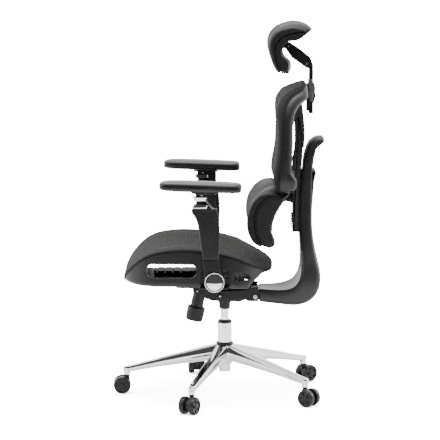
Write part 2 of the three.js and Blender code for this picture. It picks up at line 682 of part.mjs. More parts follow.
// Ring across the back frame. The inner face is the one towards the sitter: `at` is its middle as
// [y, z], `out` points from it to the outer face, `sweep` carries the side edges outwards.
function frameRing({ at, out, half, thick, chamfer = 8, dish = 8, sweep = 0 }) {
  const length = Math.hypot(...out);
  const spot = (u, depth) => {
    const d = depth + sweep * u * u;
    return [u * half, at[0] + out[0] / length * d, at[1] + out[1] / length * d];
  };
  const inner = [-0.84, -0.5, 0, 0.5, 0.84].map((u) => spot(u, dish * (1 - (u / 0.84) ** 2)));
  const right = [spot(1, chamfer), spot(1, thick * 0.86)];
  const outer = [0.88, 0.45, 0, -0.45, -0.88].map((u) => spot(u, thick));
  const left = [spot(-1, thick * 0.86), spot(-1, chamfer)];
  return [...inner, ...right, ...outer, ...left];
}

function backFrame() {
  const stations = [
    { at: [118, 391], out: [0, -1], half: 64, thick: 53, chamfer: 2, dish: 3, sweep: 0 },
    { at: [165, 391], out: [0, -1], half: 78, thick: 54.5, chamfer: 3, dish: 8, sweep: 0 },
    { at: [210, 394], out: [0.02, -1], half: 100, thick: 58, chamfer: 4, dish: 11, sweep: 0 },
    { at: [238, 402], out: [0.34, -0.94], half: 116, thick: 66, chamfer: 6, dish: 12, sweep: 0 },
    { at: [254, 420], out: [0.74, -0.67], half: 125, thick: 76, chamfer: 9, dish: 12, sweep: 0 },
    { at: [261, 442], out: [0.96, -0.28], half: 127, thick: 67, chamfer: 14, dish: 12, sweep: 0 },
    { at: [263, 470], out: [1, -0.06], half: 120, thick: 59, chamfer: 16, dish: 12, sweep: 0 },
    { at: [261, 530], out: [1, 0], half: 98, thick: 52, chamfer: 14, dish: 13, sweep: 0 },
    { at: [257, 600], out: [1, 0], half: 80, thick: 47, chamfer: 12, dish: 15, sweep: 0 },
    { at: [258, 700], out: [1, 0], half: 68, thick: 46, chamfer: 11, dish: 15, sweep: 0 },
    { at: [264, 770], out: [1, 0], half: 66, thick: 42, chamfer: 10, dish: 11, sweep: 0 },
    { at: [271, 806], out: [1, -0.03], half: 64, thick: 33, chamfer: 7, dish: 6, sweep: 3 },
    { at: [275, 840], out: [0.98, -0.18], half: 62, thick: 30, chamfer: 5, dish: 3, sweep: 7 },
    { at: [282, 869], out: [0.86, -0.5], half: 60, thick: 26, chamfer: 4, dish: 2, sweep: 12 },
    { at: [298, 892], out: [0.62, -0.78], half: 57, thick: 22, chamfer: 4, dish: 2, sweep: 13 },
    { at: [322, 904], out: [0.4, -0.92], half: 52, thick: 17, chamfer: 4, dish: 1, sweep: 12 },
    { at: [339, 903], out: [0.35, -0.94], half: 44, thick: 9, chamfer: 3, dish: 0, sweep: 9 },
  ];
  const shell = loft(finer(stations, 1).map(frameRing));
  const tongue = block([-BRACKET.inner + 1, 88, 343.2], [BRACKET.inner - 1, 122, 384]);
  const bump = rod('z', 6, 331, 345, [0, 176], 12);
  const collarGap = [-1, 1].map((s) => block([s > 0 ? BRACKET.inner - GAP : -90, 100, 330],
    [s > 0 ? 90 : GAP - BRACKET.inner, 118, 400]));
  const boltBore = rod('x', 4.5 + GAP, -90, 90, [BACK_BOLT.y, BACK_BOLT.z], 14);
  const coverSeat = block([-52, 297, 640], [52, 345, 799]);
  return cut(join(shell, tongue, bump), ...collarGap, boltBore, coverSeat);
}

// Cover let into the rear of the upright, with a lip at its top.
function backFrameCover() {
  const side = [[297.5, 640.6], [303.5, 640.6], [306, 700], [308, 760], [315, 786], [315.5, 797],
    [308, 798.4], [297.5, 798.4]];
  return overlapOf(sideways(side, -51.5, 51.5), frontways(roundedRect(-51.5, 640.6, 51.5, 798.4, 20),
    290, 330, 4));
}

add('back_bracket', backBracket(), 'black');
add('back_frame_bolt', pivotPin(4.5, 65.6, 7.5, 3, BACK_BOLT), 'steel');
add('back_frame', backFrame(), 'frame');
add('back_frame_cover', backFrameCover(), 'frame');

// ---------------------------------------------------------------- backrest
// Depth of the seam between mesh and frame at a height z.
const BACK_SEAM = smooth([
  [744, 186], [775, 184], [816, 190], [868, 197], [950, 200], [1005, 203], [1040, 212], [1066, 232],
    [1084, 256], [1094, 276],
], 13).map(([z, y]) => [z, y]);

const backSeam = (z) => readAt(BACK_SEAM, z);

const BACK_WIDTH = smooth([
  [744, 176], [752, 196], [775, 209], [830, BACK.half], [900, 212], [960, 207], [1010, 197],
    [1050, 178], [1080, 150], [1097, 118], [1106, 78],
], 15).map(([z, half]) => [z, half]);

function backPlan(inset) {
  const right = BACK_WIDTH.map(([z, half]) => {
    return [half - inset, THREE.MathUtils.mapLinear(z, BACK.bottom, BACK.top, BACK.bottom + inset,
      BACK.top - inset)];
  });
  return [...right, ...right.map(([x, z]) => [-x, z]).reverse()];
}

function backrestFrame() {
  const rear = [
    [292, 1096], [292, 1082], [277, 1066], [259, 1048], [244, 1022], [236, 995], [231, 960],
      [229.5, 900], [229, 855], [233, 828],
    [241, 806], [246, 785], [245, 760], [240, 744],
  ];
  const body = sideways([...BACK_SEAM.map(([z, y]) => [y, z]), [282, BACK.top], [292, BACK.top],
    ...rear], -230, 230);
  const ring = cut(overlapOf(body, frontways(backPlan(0), 150, 320)), frontways(backPlan(BACK.wall),
    140, 330));
  const bar = overlapOf(sideways([[205, 778], [236, 778], [236, 810], [218, 816], [205, 806]],
    -190, 190), frontways(backPlan(2), 150, 320));
  const spineGap = block([-SPINE_HALF - GAP, 235.5, 700], [SPINE_HALF + GAP, 330, 1064]);
  const clampGap = block([-31, 282.4, 1010], [31, 330, 1120]);
  return cut(join(ring, bar), spineGap, clampGap);
}

// How far the mesh stands in front of its seam, read by height.
const BACK_BULGE = [[758, 7], [785, 15], [816, 18], [868, 15], [950, 12], [1040, 20], [1080, 16],
  [1106, 7]];

function backrestMesh() {
  const across = 12;
  const heights = [BACK_MESH.bottom, ...BACK_WIDTH.map(([z]) => z).filter((z) => z > BACK_MESH.bottom + 6)];
  const rows = heights.map((z) => {
    const half = readAt(BACK_WIDTH, z) - 1;
    return Array.from({ length: across + 1 }, (_, j) => {
      const u = Math.sin((j / across - 0.5) * Math.PI);
      const edge = Math.min((1 - Math.abs(u)) * half, (z - BACK_MESH.bottom) * 0.8, (BACK.top - z) * 1.4);
      const near = Math.min(Math.max(edge, 0) / BACK_MESH.roll, 1);
      const bulge = readAt(BACK_BULGE, z);
      const curve = BACK_MESH.crown * (1 - u * u) * near;
      const y = backSeam(z) - 2.2 - BACK_MESH.thick - bulge * Math.sqrt(1 - (1 - near) ** 2) + curve;
      return [u * half, y, z];
    });
  });
  return sheet(rows, [0, BACK_MESH.thick, 0]);
}

// Central spine with a toothed front that lets the back step up and down on the frame.
function backrestSpine() {
  const outline = [
    [262, 579], [262, 700], [264, 780], [269.5, 850], [270, 900], [273.5, 940], [272, 985],
      [268, 1020], [262, 1046], [255, 1046],
    [246, 1030], [240, 1004], [243, 965], [243, 870], [239, 850], [236, 832], [236, 640], [233, 636],
      [233, 609], [236, 605], [236, 579],
  ];
  const bar = sideways(outline, -SPINE_HALF, SPINE_HALF);
  const teeth = Array.from({ length: 6 }, (_, k) => block([-14, 230, 592 + k * 9],
    [14, 238.5, 597 + k * 9]));
  return cut(bar, ...teeth);
}

add('backrest_frame', backrestFrame(), 'frame');
add('backrest_mesh', backrestMesh(), 'mesh');
add('backrest_spine', backrestSpine(), 'frame');

// ---------------------------------------------------------------- headrest
function headrestClamp() {
  const box = sideways([[283, 1024], [283, 1090], [290, 1097], [303, 1092], [312, 1074], [314, 1052],
    [308, 1030], [300, 1021]], -29, 29);
  const channel = block([-POST.half - GAP, POST.y - POST.depth / 2 - GAP, 1000],
    [POST.half + GAP, POST.y + POST.depth / 2 + GAP, 1120]);
  const slot = cut(box, channel);
  const foot = block([-22, 272.5 + 10.2, 1000], [22, 290.5, 1026]);
  return join(slot, foot);
}

function headrestPost() {
  const front = POST.y - POST.depth / 2;
  const back = POST.y + POST.depth / 2;
  const bar = sideways([[front, POST.bottom], [back, POST.bottom], [back, 1160], [300, 1172],
    [293, 1176], [front - 14, 1176], [front - 18, 1168],
    [front - 18, 1156], [front - 10, 1150], [front, 1146]], -11, 11);
  const wide = block([-POST.half, front, POST.bottom], [POST.half, back, POST.top]);
  const bore = rod('x', 4 + GAP, -30, 30, [HEAD_HINGE.y, HEAD_HINGE.z], 14);
  return cut(join(bar, wide), bore);
}

// Channel-shaped arm: two cheeks that straddle the post's head, closed by a floor towards the pad.
function headrestArm() {
  const nose = [220, 190, 160, 130, 100, 65].map((angle) => [
    PAD_HINGE.y + 13 * Math.cos(radians(angle)), PAD_HINGE.z + 13 * Math.sin(radians(angle))]);
  const outline = [[281, 1150], [230, 1186], ...nose, [262, 1211], [293, 1187], [301, 1173],
    [299, 1158], [291, 1150]];
  const cheeks = [sideways(outline, 11.5, 22), sideways(outline, -22, -11.5)];
  const floor = sideways([[258, 1171], [226, 1198], [232, 1206], [266, 1180]], -12.5, 12.5);
  const bore = rod('x', 4 + GAP, -30, 30, [HEAD_HINGE.y, HEAD_HINGE.z], 14);
  const padBore = rod('x', 3 + GAP, -30, 30, [PAD_HINGE.y, PAD_HINGE.z], 12);
  return cut(join(...cheeks, floor), bore, padBore);
}

function headrestPin() {
  return pivotPin(4, 22.5, 5.5, 1.2, HEAD_HINGE);
}

// Side view of the headrest: outer skin, seam and inner skin, from the top tip to the bottom end.
const HEAD_OUTER = smooth([[287, 1289], [264, 1300], [228, 1304], [185, 1292], [157, 1271],
  [146, 1245], [146, 1218], [154, 1186], [169, 1152], [181, 1137]], 10);
const HEAD_SEAM = smooth([[286, 1285], [254, 1283], [218, 1275], [185, 1257], [171, 1238], [166, 1211],
  [171, 1178], [180, 1152], [190, 1137]], 10);
const HEAD_INNER = smooth([[285, 1280], [254, 1259], [228, 1256], [207, 1248], [193, 1230],
  [188, 1211], [195, 1190], [214, 1172], [217, 1152], [211, 1135]], 10);

// Rings across X between two of the three skins, pulled back in the middle and drawn in at the ends.
function headrestLoft(front, rear, clearance) {
  const columns = [-1, -0.93, -0.7, -0.35, 0, 0.35, 0.7, 0.93, 1];
  const centre = [215, 1215];
  const rings = columns.map((u) => {
    const shrink = 1 - 0.16 * Math.max(0, (Math.abs(u) - 0.7) / 0.3) ** 2;
    const back = 12 * (1 - u * u);
    const loop = [...front, ...rear.slice().reverse()];
    return loop.map(([y, z]) => [
      u * HEAD_HALF, centre[0] + (y - centre[0]) * shrink + back + clearance,
        centre[1] + (z - centre[1]) * shrink]);
  });
  return loft(rings);
}

// Rear shell with the lug and cross pin that hang it between the arm's cheeks.
function headrestShell() {
  const lug = sideways(roundedRect(198, PAD_HINGE.z - 8, PAD_HINGE.y + 8, PAD_HINGE.z + 8, 7), -10, 10,
    3);
  const pin = rod('x', 3, -21.5, 21.5, [PAD_HINGE.y, PAD_HINGE.z], 12);
  return join(headrestLoft(HEAD_SEAM, HEAD_INNER, 0.5), lug, pin);
}

add('headrest_clamp', headrestClamp(), 'black');
add('headrest_post', headrestPost(), 'black');
add('headrest_arm', headrestArm(), 'frame');
add('headrest_pin', headrestPin(), 'steel');
add('headrest_pad', headrestLoft(HEAD_OUTER, HEAD_SEAM, -0.5), 'cushion');
add('headrest_shell', headrestShell(), 'frame');

// ---------------------------------------------------------------- lumbar support
// Side view: front skin, seam and rear skin, from top to bottom.
const LUMBAR_FRONT = smooth([[164, 741], [144, 744], [112, 728], [86, 694], [73, 648], [77, 595],
  [98, 556], [118, 544]], 9);
const LUMBAR_SEAM = smooth([[168, 738], [150, 732], [128, 712], [112, 688], [102, 650], [104, 600],
  [113, 568], [126, 547]], 9);
const LUMBAR_REAR = smooth([[178, 734], [182, 700], [170, 662], [159, 626], [160, 598], [170, 580],
  [167, 549], [148, 540]], 9);

function lumbarLoft(front, rear, deep, clearance) {
  const columns = [-1, -0.94, -0.75, -0.5, -0.25, 0, 0.25, 0.5, 0.75, 0.94, 1];
  const centre = [125, 650];
  const rings = columns.map((u) => {
    const across = Math.abs(u);
    const shrink = 1 - 0.14 * Math.max(0, (across - 0.75) / 0.25) ** 2;
    const back = 24 * (1 - across ** 1.8);
    const waist = 1 - 0.14 * Math.max(0, 1 - across / 0.45) ** 2;
    const depth = deep ? 0.3 + 0.7 * Math.min(1, across / 0.9) ** 2 : 1;
    return [...front, ...rear.map(([y, z], i) => [front[i][0] + (y - front[i][0]) * depth,
      z]).reverse()].map(([y, z]) => [
      u * LUMBAR_HALF, centre[0] + (y - centre[0]) * shrink + back + clearance,
      centre[1] + (z - centre[1]) * shrink * waist]);
  });
  return loft(rings);
}

function lumbarBracket() {
  const ear = sideways([[214, 690], [214, 703], [222, 709], [233, 712], [233, 682], [222, 684]], 27, 33);
  const cross = rod('x', 3.5, -66, 66, [LUMBAR_HINGE.y, LUMBAR_HINGE.z], 12);
  const knob = rod('x', 8, 62, 69, [LUMBAR_HINGE.y, LUMBAR_HINGE.z], 14);
  const backing = block([-36, 231.8, 680], [36, 235.6, 714]);
  return join(ear, mirrored(ear), cross, knob, mirrored(knob), backing);
}

add('lumbar_bracket', lumbarBracket(), 'black');
// Rear shell with two lugs that turn on the bracket's cross pin.
function lumbarShell() {
  const { y, z } = LUMBAR_HINGE;
  const arm = sideways([
    [160, 716], [150, 700], [146, 688], [180, 686], [214, z - 8], [y, z - 7.4], [y + 6, z - 4.5],
      [y + 7.4, z], [y + 6, z + 4.5],
    [y, z + 7.4], [206, z + 13], [178, 718],
  ], 44, 60);
  const bore = rod('x', 3.5 + GAP, -70, 70, [y, z], 12);
  return cut(join(lumbarLoft(LUMBAR_SEAM, LUMBAR_REAR, true, 1), arm, mirrored(arm)), bore);
}

add('lumbar_pad', lumbarLoft(LUMBAR_FRONT, LUMBAR_SEAM, false, -1), 'cushion');
add('lumbar_shell', lumbarShell(), 'frame');

// ---------------------------------------------------------------- placing
chair.position.set(-BOX_MIDDLE.x, -BOX_MIDDLE.y, 0);
const placed = new THREE.Group();
placed.name = 'office_chair';
placed.add(chair);

export default placed;
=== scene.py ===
"""Finished looks of a swivel office chair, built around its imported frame.

Lengths in the tables below are millimetres from the floor under the column's axis: +Z up, the
sitter faces -Y and the sitter's left is +X. at() turns them into metres in the row frame.
"""

import json
import math

import bmesh
import bpy
import numpy as np
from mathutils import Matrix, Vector


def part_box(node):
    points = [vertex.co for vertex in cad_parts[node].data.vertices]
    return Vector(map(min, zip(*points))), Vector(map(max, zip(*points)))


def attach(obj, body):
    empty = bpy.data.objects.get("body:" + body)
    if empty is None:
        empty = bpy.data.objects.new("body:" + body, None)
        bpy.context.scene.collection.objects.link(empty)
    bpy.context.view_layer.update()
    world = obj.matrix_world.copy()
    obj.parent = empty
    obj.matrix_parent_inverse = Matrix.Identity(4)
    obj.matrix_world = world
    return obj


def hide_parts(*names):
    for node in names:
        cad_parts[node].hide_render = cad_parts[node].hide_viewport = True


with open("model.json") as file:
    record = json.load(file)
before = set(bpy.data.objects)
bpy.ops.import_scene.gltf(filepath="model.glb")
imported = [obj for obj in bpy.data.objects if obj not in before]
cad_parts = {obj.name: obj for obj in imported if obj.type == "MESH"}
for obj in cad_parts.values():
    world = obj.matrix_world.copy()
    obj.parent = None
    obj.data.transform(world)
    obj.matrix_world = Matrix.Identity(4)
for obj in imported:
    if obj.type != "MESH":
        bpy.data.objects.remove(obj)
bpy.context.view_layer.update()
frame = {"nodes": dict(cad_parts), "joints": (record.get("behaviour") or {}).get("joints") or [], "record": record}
nodes = frame["nodes"]
joints = {joint["name"]: joint for joint in frame["joints"]}
body_of_node = {node: body for body,
                members in frame["record"]["behaviour"]["bodies"].items() for node in members}
slot_of_node = {part["node"]: part["material_slot"] for part in frame["record"]["subparts"]}

piston_low, piston_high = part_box("gas_piston")
COLUMN = np.array([(piston_low.x + piston_high.x) / 2, (piston_low.y + piston_high.y) / 2, 0.0])
MM = 0.001


def at(points):
    """Millimetres from the floor under the column's axis, as metres in the row frame."""
    return np.asarray(points, float) * MM + COLUMN


def from_frame(points):
    """Metres in the row frame, as millimetres from the floor under the column's axis."""
    return (np.asarray(points, float) - COLUMN) / MM


# ---------------------------------------------------------------- shader sums
class Value:
    """A shader socket that takes part in sums: each sum adds its Math node."""

    def __init__(self, finish, socket):
        self.finish = finish
        self.socket = socket

    def math(self, operation, *others):
        return self.finish.node("ShaderNodeMath", {"operation": operation},
                                dict(enumerate((self, *others))))

    def __add__(self, other):
        return self.math("ADD", other)

    def __mul__(self, other):
        return self.math("MULTIPLY", other)

    def __sub__(self, other):
        return self.math("SUBTRACT", other)

    def __rsub__(self, other):
        return self.finish.node("ShaderNodeMath", {"operation": "SUBTRACT"}, {0: other, 1: self})

    __radd__ = __add__
    __rmul__ = __mul__


class Finish:
    """A node tree with one method that adds any node."""

    def __init__(self, tree):
        self.tree = tree
        tree.nodes.clear()

    def node(self, kind, settings=None, sockets=None, output=0):
        made = self.tree.nodes.new(kind)
        for name, value in (settings or {}).items():
            if name == "stops":
                ramp = made.color_ramp.elements
                while len(ramp) < len(value):
                    ramp.new(0.5)
                for element, (place, colour) in zip(ramp, value):
                    element.position = place
                    element.color = (*colour, 1)
            else:
                setattr(made, name, value)
        for name, value in (sockets or {}).items():
            if isinstance(value, Value):
                self.tree.links.new(value.socket, made.inputs[name])
            else:
                made.inputs[name].default_value = value
        return Value(self, made.outputs[output]) if made.outputs else None

    def place(self):
        return self.node("ShaderNodeTexCoord", output="Object")

    def part_of(self, vector, axis):
        return self.node("ShaderNodeSeparateXYZ", None, {0: vector}, axis)

    def noise(self, scale, detail=3.0):
        sockets = {"Vector": self.place(), "Scale": scale, "Detail": detail, "Roughness": 0.55}
        return self.node("ShaderNodeTexNoise", None, sockets, "Fac")

    def wave(self, along, pitch):
        """A smooth wave from 0 to 1 with that pitch in metres."""
        return (along * (2 * math.pi / pitch)).math("SINE") * 0.5 + 0.5

    def step(self, value, low, high):
        return self.node(
            "ShaderNodeMapRange", {"interpolation_type": "SMOOTHSTEP"},
            {"Value": value, "From Min": low, "From Max": high})

    def tint(self, share, dark, light):
        """A colour between two, by a share from 0 to 1."""
        return self.node("ShaderNodeMix", {"data_type": "RGBA"}, {0: share, 6: (*dark, 1), 7: (*light, 1)},
                         2)

    def bump(self, height, depth, strength=1.0):
        return self.node("ShaderNodeBump", None, {"Height": height, "Distance": depth,
                                                  "Strength": strength})


def surface(name, build, **constant):
    """A material whose Principled sockets come from build(finish), with the constants set on the shader."""
    material = bpy.data.materials.new(name)
    material.use_nodes = True
    finish = Finish(material.node_tree)
    shader = finish.node("ShaderNodeBsdfPrincipled", None, {**constant, **build(finish)})
    finish.node("ShaderNodeOutputMaterial", None, {"Surface": shader})
    material.diffuse_color = (0.1, 0.1, 0.1, 1)
    return material


def shades(colour, spread):
    return [tuple(c * (1 + s * spread) for c in colour) for s in (-1, 1)]


def moulded_plastic(name, colour, rough, grain=0.0011, depth=0.00006, **constant):
    """Injection-moulded plastic: a fine spark-eroded grain, a slow change of shade and rubbed patches."""

    def build(f):
        cloud = f.noise(7, 4)
        speck = f.noise(1 / grain, 2)
        rubbed = f.step(f.noise(26, 5), 0.55, 0.8)
        return {
            "Base Color": f.tint(cloud * 0.8 + speck * 0.2, *shades(colour, 0.12)),
            "Roughness": (cloud - 0.5) * 0.1 + (speck - 0.5) * 0.08 + rough - rubbed * 0.05,
            "Normal": f.bump(speck, depth),
        }

    return surface(name, build, **constant)


def chrome_plate(name):
    """Polished plate with faint handling smears."""

    def build(f):
        smear = f.step(f.noise(13, 4), 0.45, 0.85)
        return {
            "Base Color": f.tint(smear, (0.80, 0.81, 0.83), (0.72, 0.73, 0.75)),
            "Roughness": smear * 0.05 + 0.045,
            "Normal": f.bump(f.noise(60, 2), 0.00002, 0.3),
        }

    return surface(name, build, Metallic=1.0)


def plated_steel(name):
    """Zinc-plated steel with fine turning marks."""

    def build(f):
        mottle = f.noise(180, 4)
        marks = f.wave(f.part_of(f.place(), 2) + mottle * 0.002, 0.0007)
        return {
            "Base Color": f.tint(mottle, (0.42, 0.42, 0.43), (0.66, 0.66, 0.68)),
            "Roughness": mottle * 0.18 + 0.22,
            "Normal": f.bump(marks, 0.00002, 0.4),
        }

    return surface(name, build, Metallic=1.0)


def ribbed_mesh_cloth(name, dark, light, rib, stripe):
    """Elastic mesh cloth: lateral ribs by the piece's own `along` measure, crossed by fine warp threads."""

    def build(f):
        along = f.node("ShaderNodeAttribute", {"attribute_name": "along"}, output="Fac")
        across = f.part_of(f.place(), 0)
        ribs = f.wave(along, rib)
        threads = f.wave(across, 0.0018)
        stripes = f.step(f.wave(along, stripe), 0.25, 0.85)
        worn = f.noise(11, 3)
        weave = ribs * 0.35 + stripes * 0.45 + threads * 0.1 + worn * 0.2
        return {
            "Base Color": f.tint(weave, dark, light),
            "Roughness": 0.9 - ribs * 0.12,
            "Normal": f.bump(ribs * 0.6 + threads * 0.4, 0.0004, 0.7),
        }

    return surface(name, build, **{"Sheen Weight": 0.01, "Sheen Roughness": 0.4,
                                   "Specular IOR Level": 0.15})


def pad_cloth(name, colour, rough):
    """Close-woven cover cloth: a small diagonal weave, slightly uneven in shade."""

    def build(f):
        place = f.place()
        slant = f.part_of(place, 0) + f.part_of(place, 2)
        lean = f.part_of(place, 1) - f.part_of(place, 2)
        weave = f.wave(slant, 0.0016) * f.wave(lean, 0.0019)
        cloud = f.noise(16, 4)
        return {
            "Base Color": f.tint(cloud * 0.6 + weave * 0.4, *shades(colour, 0.22)),
            "Roughness": rough - weave * 0.1 + (cloud - 0.5) * 0.08,
            "Normal": f.bump(weave, 0.00025, 0.5),
        }

    return surface(name, build, **{"Sheen Weight": 0.01, "Sheen Roughness": 0.35,
                                   "Specular IOR Level": 0.25})


def soft_skin(name, colour, rough):
    """Foamed polyurethane skin with a pebble grain and hand-polished patches."""

    def build(f):
        pebbles = f.node("ShaderNodeTexVoronoi", None, {"Vector": f.place(), "Scale": 620.0}, "Distance")
        polish = f.step(f.noise(18, 4), 0.4, 0.75)
        return {
            "Base Color": f.tint(f.noise(9, 4), *shades(colour, 0.15)),
            "Roughness": rough - polish * 0.08 + pebbles * 0.06,
            "Normal": f.bump(pebbles, 0.00012, 0.5),
        }

    return surface(name, build, **{"Specular IOR Level": 0.45})


SATIN = {"Specular IOR Level": 0.3}
looks = {
    "chrome": chrome_plate("Chrome_plate"),
    "steel": plated_steel("Zinc_plated_steel"),
    "mechanism": moulded_plastic("Black_glass_filled_nylon", (0.0035, 0.0035, 0.0037), 0.42, 0.0016,
                                 0.00012, **SATIN),
    "carrier_steel": moulded_plastic("Black_powder_coat", (0.0035, 0.0035, 0.0037), 0.45, 0.0021, 0.0001,
                                     **SATIN),
    "frame": moulded_plastic("Satin_frame_nylon", (0.0098, 0.01, 0.0104), 0.36, **SATIN),
    # Painted light: the spine nylon is far lighter than the frame's, to lift the spine out of the shade it sits in
    # between the backrest rim and the back frame.
    "dark_frame": moulded_plastic("Spine_nylon_painted_fill", (0.042, 0.0424, 0.0436), 0.36, **SATIN),
    "back_frame": moulded_plastic("Satin_back_frame_nylon", (0.0165, 0.0168, 0.0174), 0.33, **SATIN),
    "arch": moulded_plastic("Satin_arch_nylon", (0.036, 0.037, 0.038), 0.34, **SATIN),
    "cover": moulded_plastic("Pale_cover_nylon", (0.085, 0.086, 0.088), 0.3, **SATIN),
    # Painted shade: a near-black nylon for the front dish of the back frame, standing in for the shadow on that
    # dished face.
    "painted_front_shade": moulded_plastic("Painted_shade_front_dish_nylon", (0.003, 0.003, 0.0032), 0.5, **SATIN),
    "seam": pad_cloth("Seam_band_cloth", (0.0038, 0.0038, 0.0038), 0.8),
    "thread": pad_cloth("Stitching_thread", (0.014, 0.014, 0.014), 0.7),
    "seat_mesh": ribbed_mesh_cloth("Seat_mesh_cloth", (0.0045, 0.0044, 0.0039), (0.021, 0.0205, 0.0185),
                                   0.0035, 0.0105),
    "back_mesh": ribbed_mesh_cloth("Back_mesh_cloth", (0.007, 0.0069, 0.0065), (0.0195, 0.0192, 0.0183),
                                   0.0034, 0.0068),
    "cushion": pad_cloth("Cushion_cover_cloth", (0.0042, 0.0042, 0.0043), 0.58),
    "arm_pad": soft_skin("Arm_pad_skin", (0.0034, 0.0034, 0.0036), 0.36),
    "wheel": moulded_plastic("Wheel_nylon", (0.004, 0.004, 0.0043), 0.28, 0.003, 0.00004, **SATIN),
}


# ---------------------------------------------------------------- lines and outlines
def smooth_line(points, count):
    """`count` points on a smooth curve through a few points of any size."""
    points = np.asarray(points, float)
    chords = np.linalg.norm(np.diff(points, axis=0), axis=1)
    t = np.concatenate([[0], np.cumsum(np.sqrt(np.maximum(chords, 1e-9)))])
    slope = np.gradient(points, t, axis=0)
    s = np.linspace(0, t[-1], count)
    i = np.clip(np.searchsorted(t, s, side="right") - 1, 0, len(t) - 2)
    h = (t[i + 1] - t[i])[:, None]
    u = (s - t[i])[:, None] / h
    return ((2 * u**3 - 3 * u**2 + 1) * points[i] + (u**3 - 2 * u**2 + u) * h * slope[i]
            + (3 * u**2 - 2 * u**3) * points[i + 1] + (u**3 - u**2) * h * slope[i + 1])


def eased(points, radius, steps=4, closed=True):
    """The same outline with each corner rounded. radius is one number or one per corner."""
    points = np.asarray(points, float)
    radii = np.broadcast_to(radius, len(points))
    out = []
    for i, corner in enumerate(points):
        if not closed and i in (0, len(points) - 1):
            out.append(corner)
            continue
        before, after = points[i - 1] - corner, points[(i + 1) % len(points)] - corner
        size = [np.linalg.norm(before), np.linalg.norm(after)]
        reach = min(radii[i], 0.45 * size[0], 0.45 * size[1])
        a, b = corner + before / size[0] * reach, corner + after / size[1] * reach
        for u in np.linspace(0, 1, steps):
            out.append((1 - u) ** 2 * a + 2 * u * (1 - u) * corner + u**2 * b)
    return np.array(out)


def evenly(outline, count):
    """A closed outline with its points evenly spaced."""
    outline = np.asarray(outline, float)
    loop = np.vstack([outline, outline[:1]])
    run = np.concatenate([[0], np.cumsum(np.linalg.norm(np.diff(loop, axis=0), axis=1))])
    s = np.linspace(0, run[-1], count, endpoint=False)
    return np.stack([np.interp(s, run, loop[:, k]) for k in range(loop.shape[1])], axis=1)


def inward(outline):
    """Unit inward normals of a closed outline in a plane."""
    step = np.roll(outline, -1, axis=0) - np.roll(outline, 1, axis=0)
    x, y = outline[:, 0], outline[:, 1]
    turn = np.sign(np.sum(x * np.roll(y, -1) - np.roll(x, -1) * y))
    normal = np.stack([-step[:, 1], step[:, 0]], axis=1) * turn
    return normal / np.maximum(np.linalg.norm(normal, axis=1, keepdims=True), 1e-9)


def rounded_rectangle(x0, y0, x1, y1, low, high=None, steps=16):
    """Corner radius `low` at y0 and `high` at y1."""
    high = low if high is None else high
    corners = [(x1 - low, y0 + low, low, -90), (x1 - high, y1 - high, high, 0),
               (x0 + high, y1 - high, high, 90), (x0 + low, y0 + low, low, 180)]
    out = []
    for x, y, radius, start in corners:
        for angle in np.radians(np.linspace(start, start + 90, steps)):
            out.append((x + radius * math.cos(angle), y + radius * math.sin(angle)))
    return np.array(out)


def reading(table):
    """A function that reads a table of (key, value) pairs with rising keys."""
    keys, values = np.array(table, float).T
    return lambda key: np.interp(key, keys, values)


# ---------------------------------------------------------------- meshes
def placed(name, data):
    """A new object in the scene."""
    piece = bpy.data.objects.new(name, data)
    bpy.context.scene.collection.objects.link(piece)
    return piece


def covered(piece, look):
    """The piece in that one look, shaded smooth."""
    piece.data.materials.clear()
    piece.data.materials.append(looks[look])
    piece.data.shade_smooth()
    return piece


def make(name, points, faces, look):
    mesh = bpy.data.meshes.new(name)
    mesh.from_pydata([tuple(p) for p in at(points)], [], [tuple(f) for f in faces])
    shell = bmesh.new()
    shell.from_mesh(mesh)
    bmesh.ops.remove_doubles(shell, verts=shell.verts, dist=1e-6)
    bmesh.ops.recalc_face_normals(shell, faces=shell.faces)
    shell.to_mesh(mesh)
    shell.free()
    mesh.materials.append(looks[look])
    mesh.shade_smooth()
    return placed(name, mesh)


def loft(rings, along=False):
    """Points and faces of a skin through rings of points; `along` joins the last ring to the first."""
    rings = np.asarray(rings, float)
    n, m = rings.shape[:2]
    faces = []
    for i in range(n if along else n - 1):
        for j in range(m):
            k, here, there = (j + 1) % m, i * m, (i + 1) % n * m
            faces.append((here + j, here + k, there + k, there + j))
    if not along:
        faces += [range(m - 1, -1, -1), range((n - 1) * m, n * m)]
    return rings.reshape(-1, 3), faces


def change(piece, kind, **settings):
    """Adds a modifier, applies it and leaves the plain mesh."""
    modifier = piece.modifiers.new(kind.title(), kind)
    for name, value in settings.items():
        setattr(modifier, name, value)
    bpy.context.view_layer.update()
    graph = bpy.context.evaluated_depsgraph_get()
    result = bpy.data.meshes.new_from_object(piece.evaluated_get(graph))
    piece.modifiers.clear()
    piece.data = result
    return piece


def creased(piece, angle=35):
    """Smooth shading with sharp edges above an angle."""
    piece.data.shade_smooth()
    piece.data.set_sharp_from_angle(angle=math.radians(angle))
    return piece


def cut_from(piece, *cutters):
    for cutter in cutters:
        change(piece, "BOOLEAN", object=cutter, operation="DIFFERENCE", solver="EXACT")
        bpy.data.objects.remove(cutter)
    return piece


def moulded(piece, voxel, passes, look):
    """Re-skins a piece with an even fine grid and rounds its edges, as a mould's fillets do."""
    change(piece, "REMESH", mode="VOXEL", voxel_size=voxel * MM)
    change(piece, "SMOOTH", factor=0.5, iterations=passes)
    return covered(piece, look)


def copy_of(node, name, look):
    """A new piece with a CAD node's own shape."""
    source = nodes[node].data
    shell = bmesh.new()
    shell.from_mesh(source)
    bmesh.ops.remove_doubles(shell, verts=shell.verts, dist=2e-6)
    mesh = bpy.data.meshes.new(name)
    shell.to_mesh(mesh)
    shell.free()
    mesh.materials.append(looks[look])
    return placed(name, mesh)


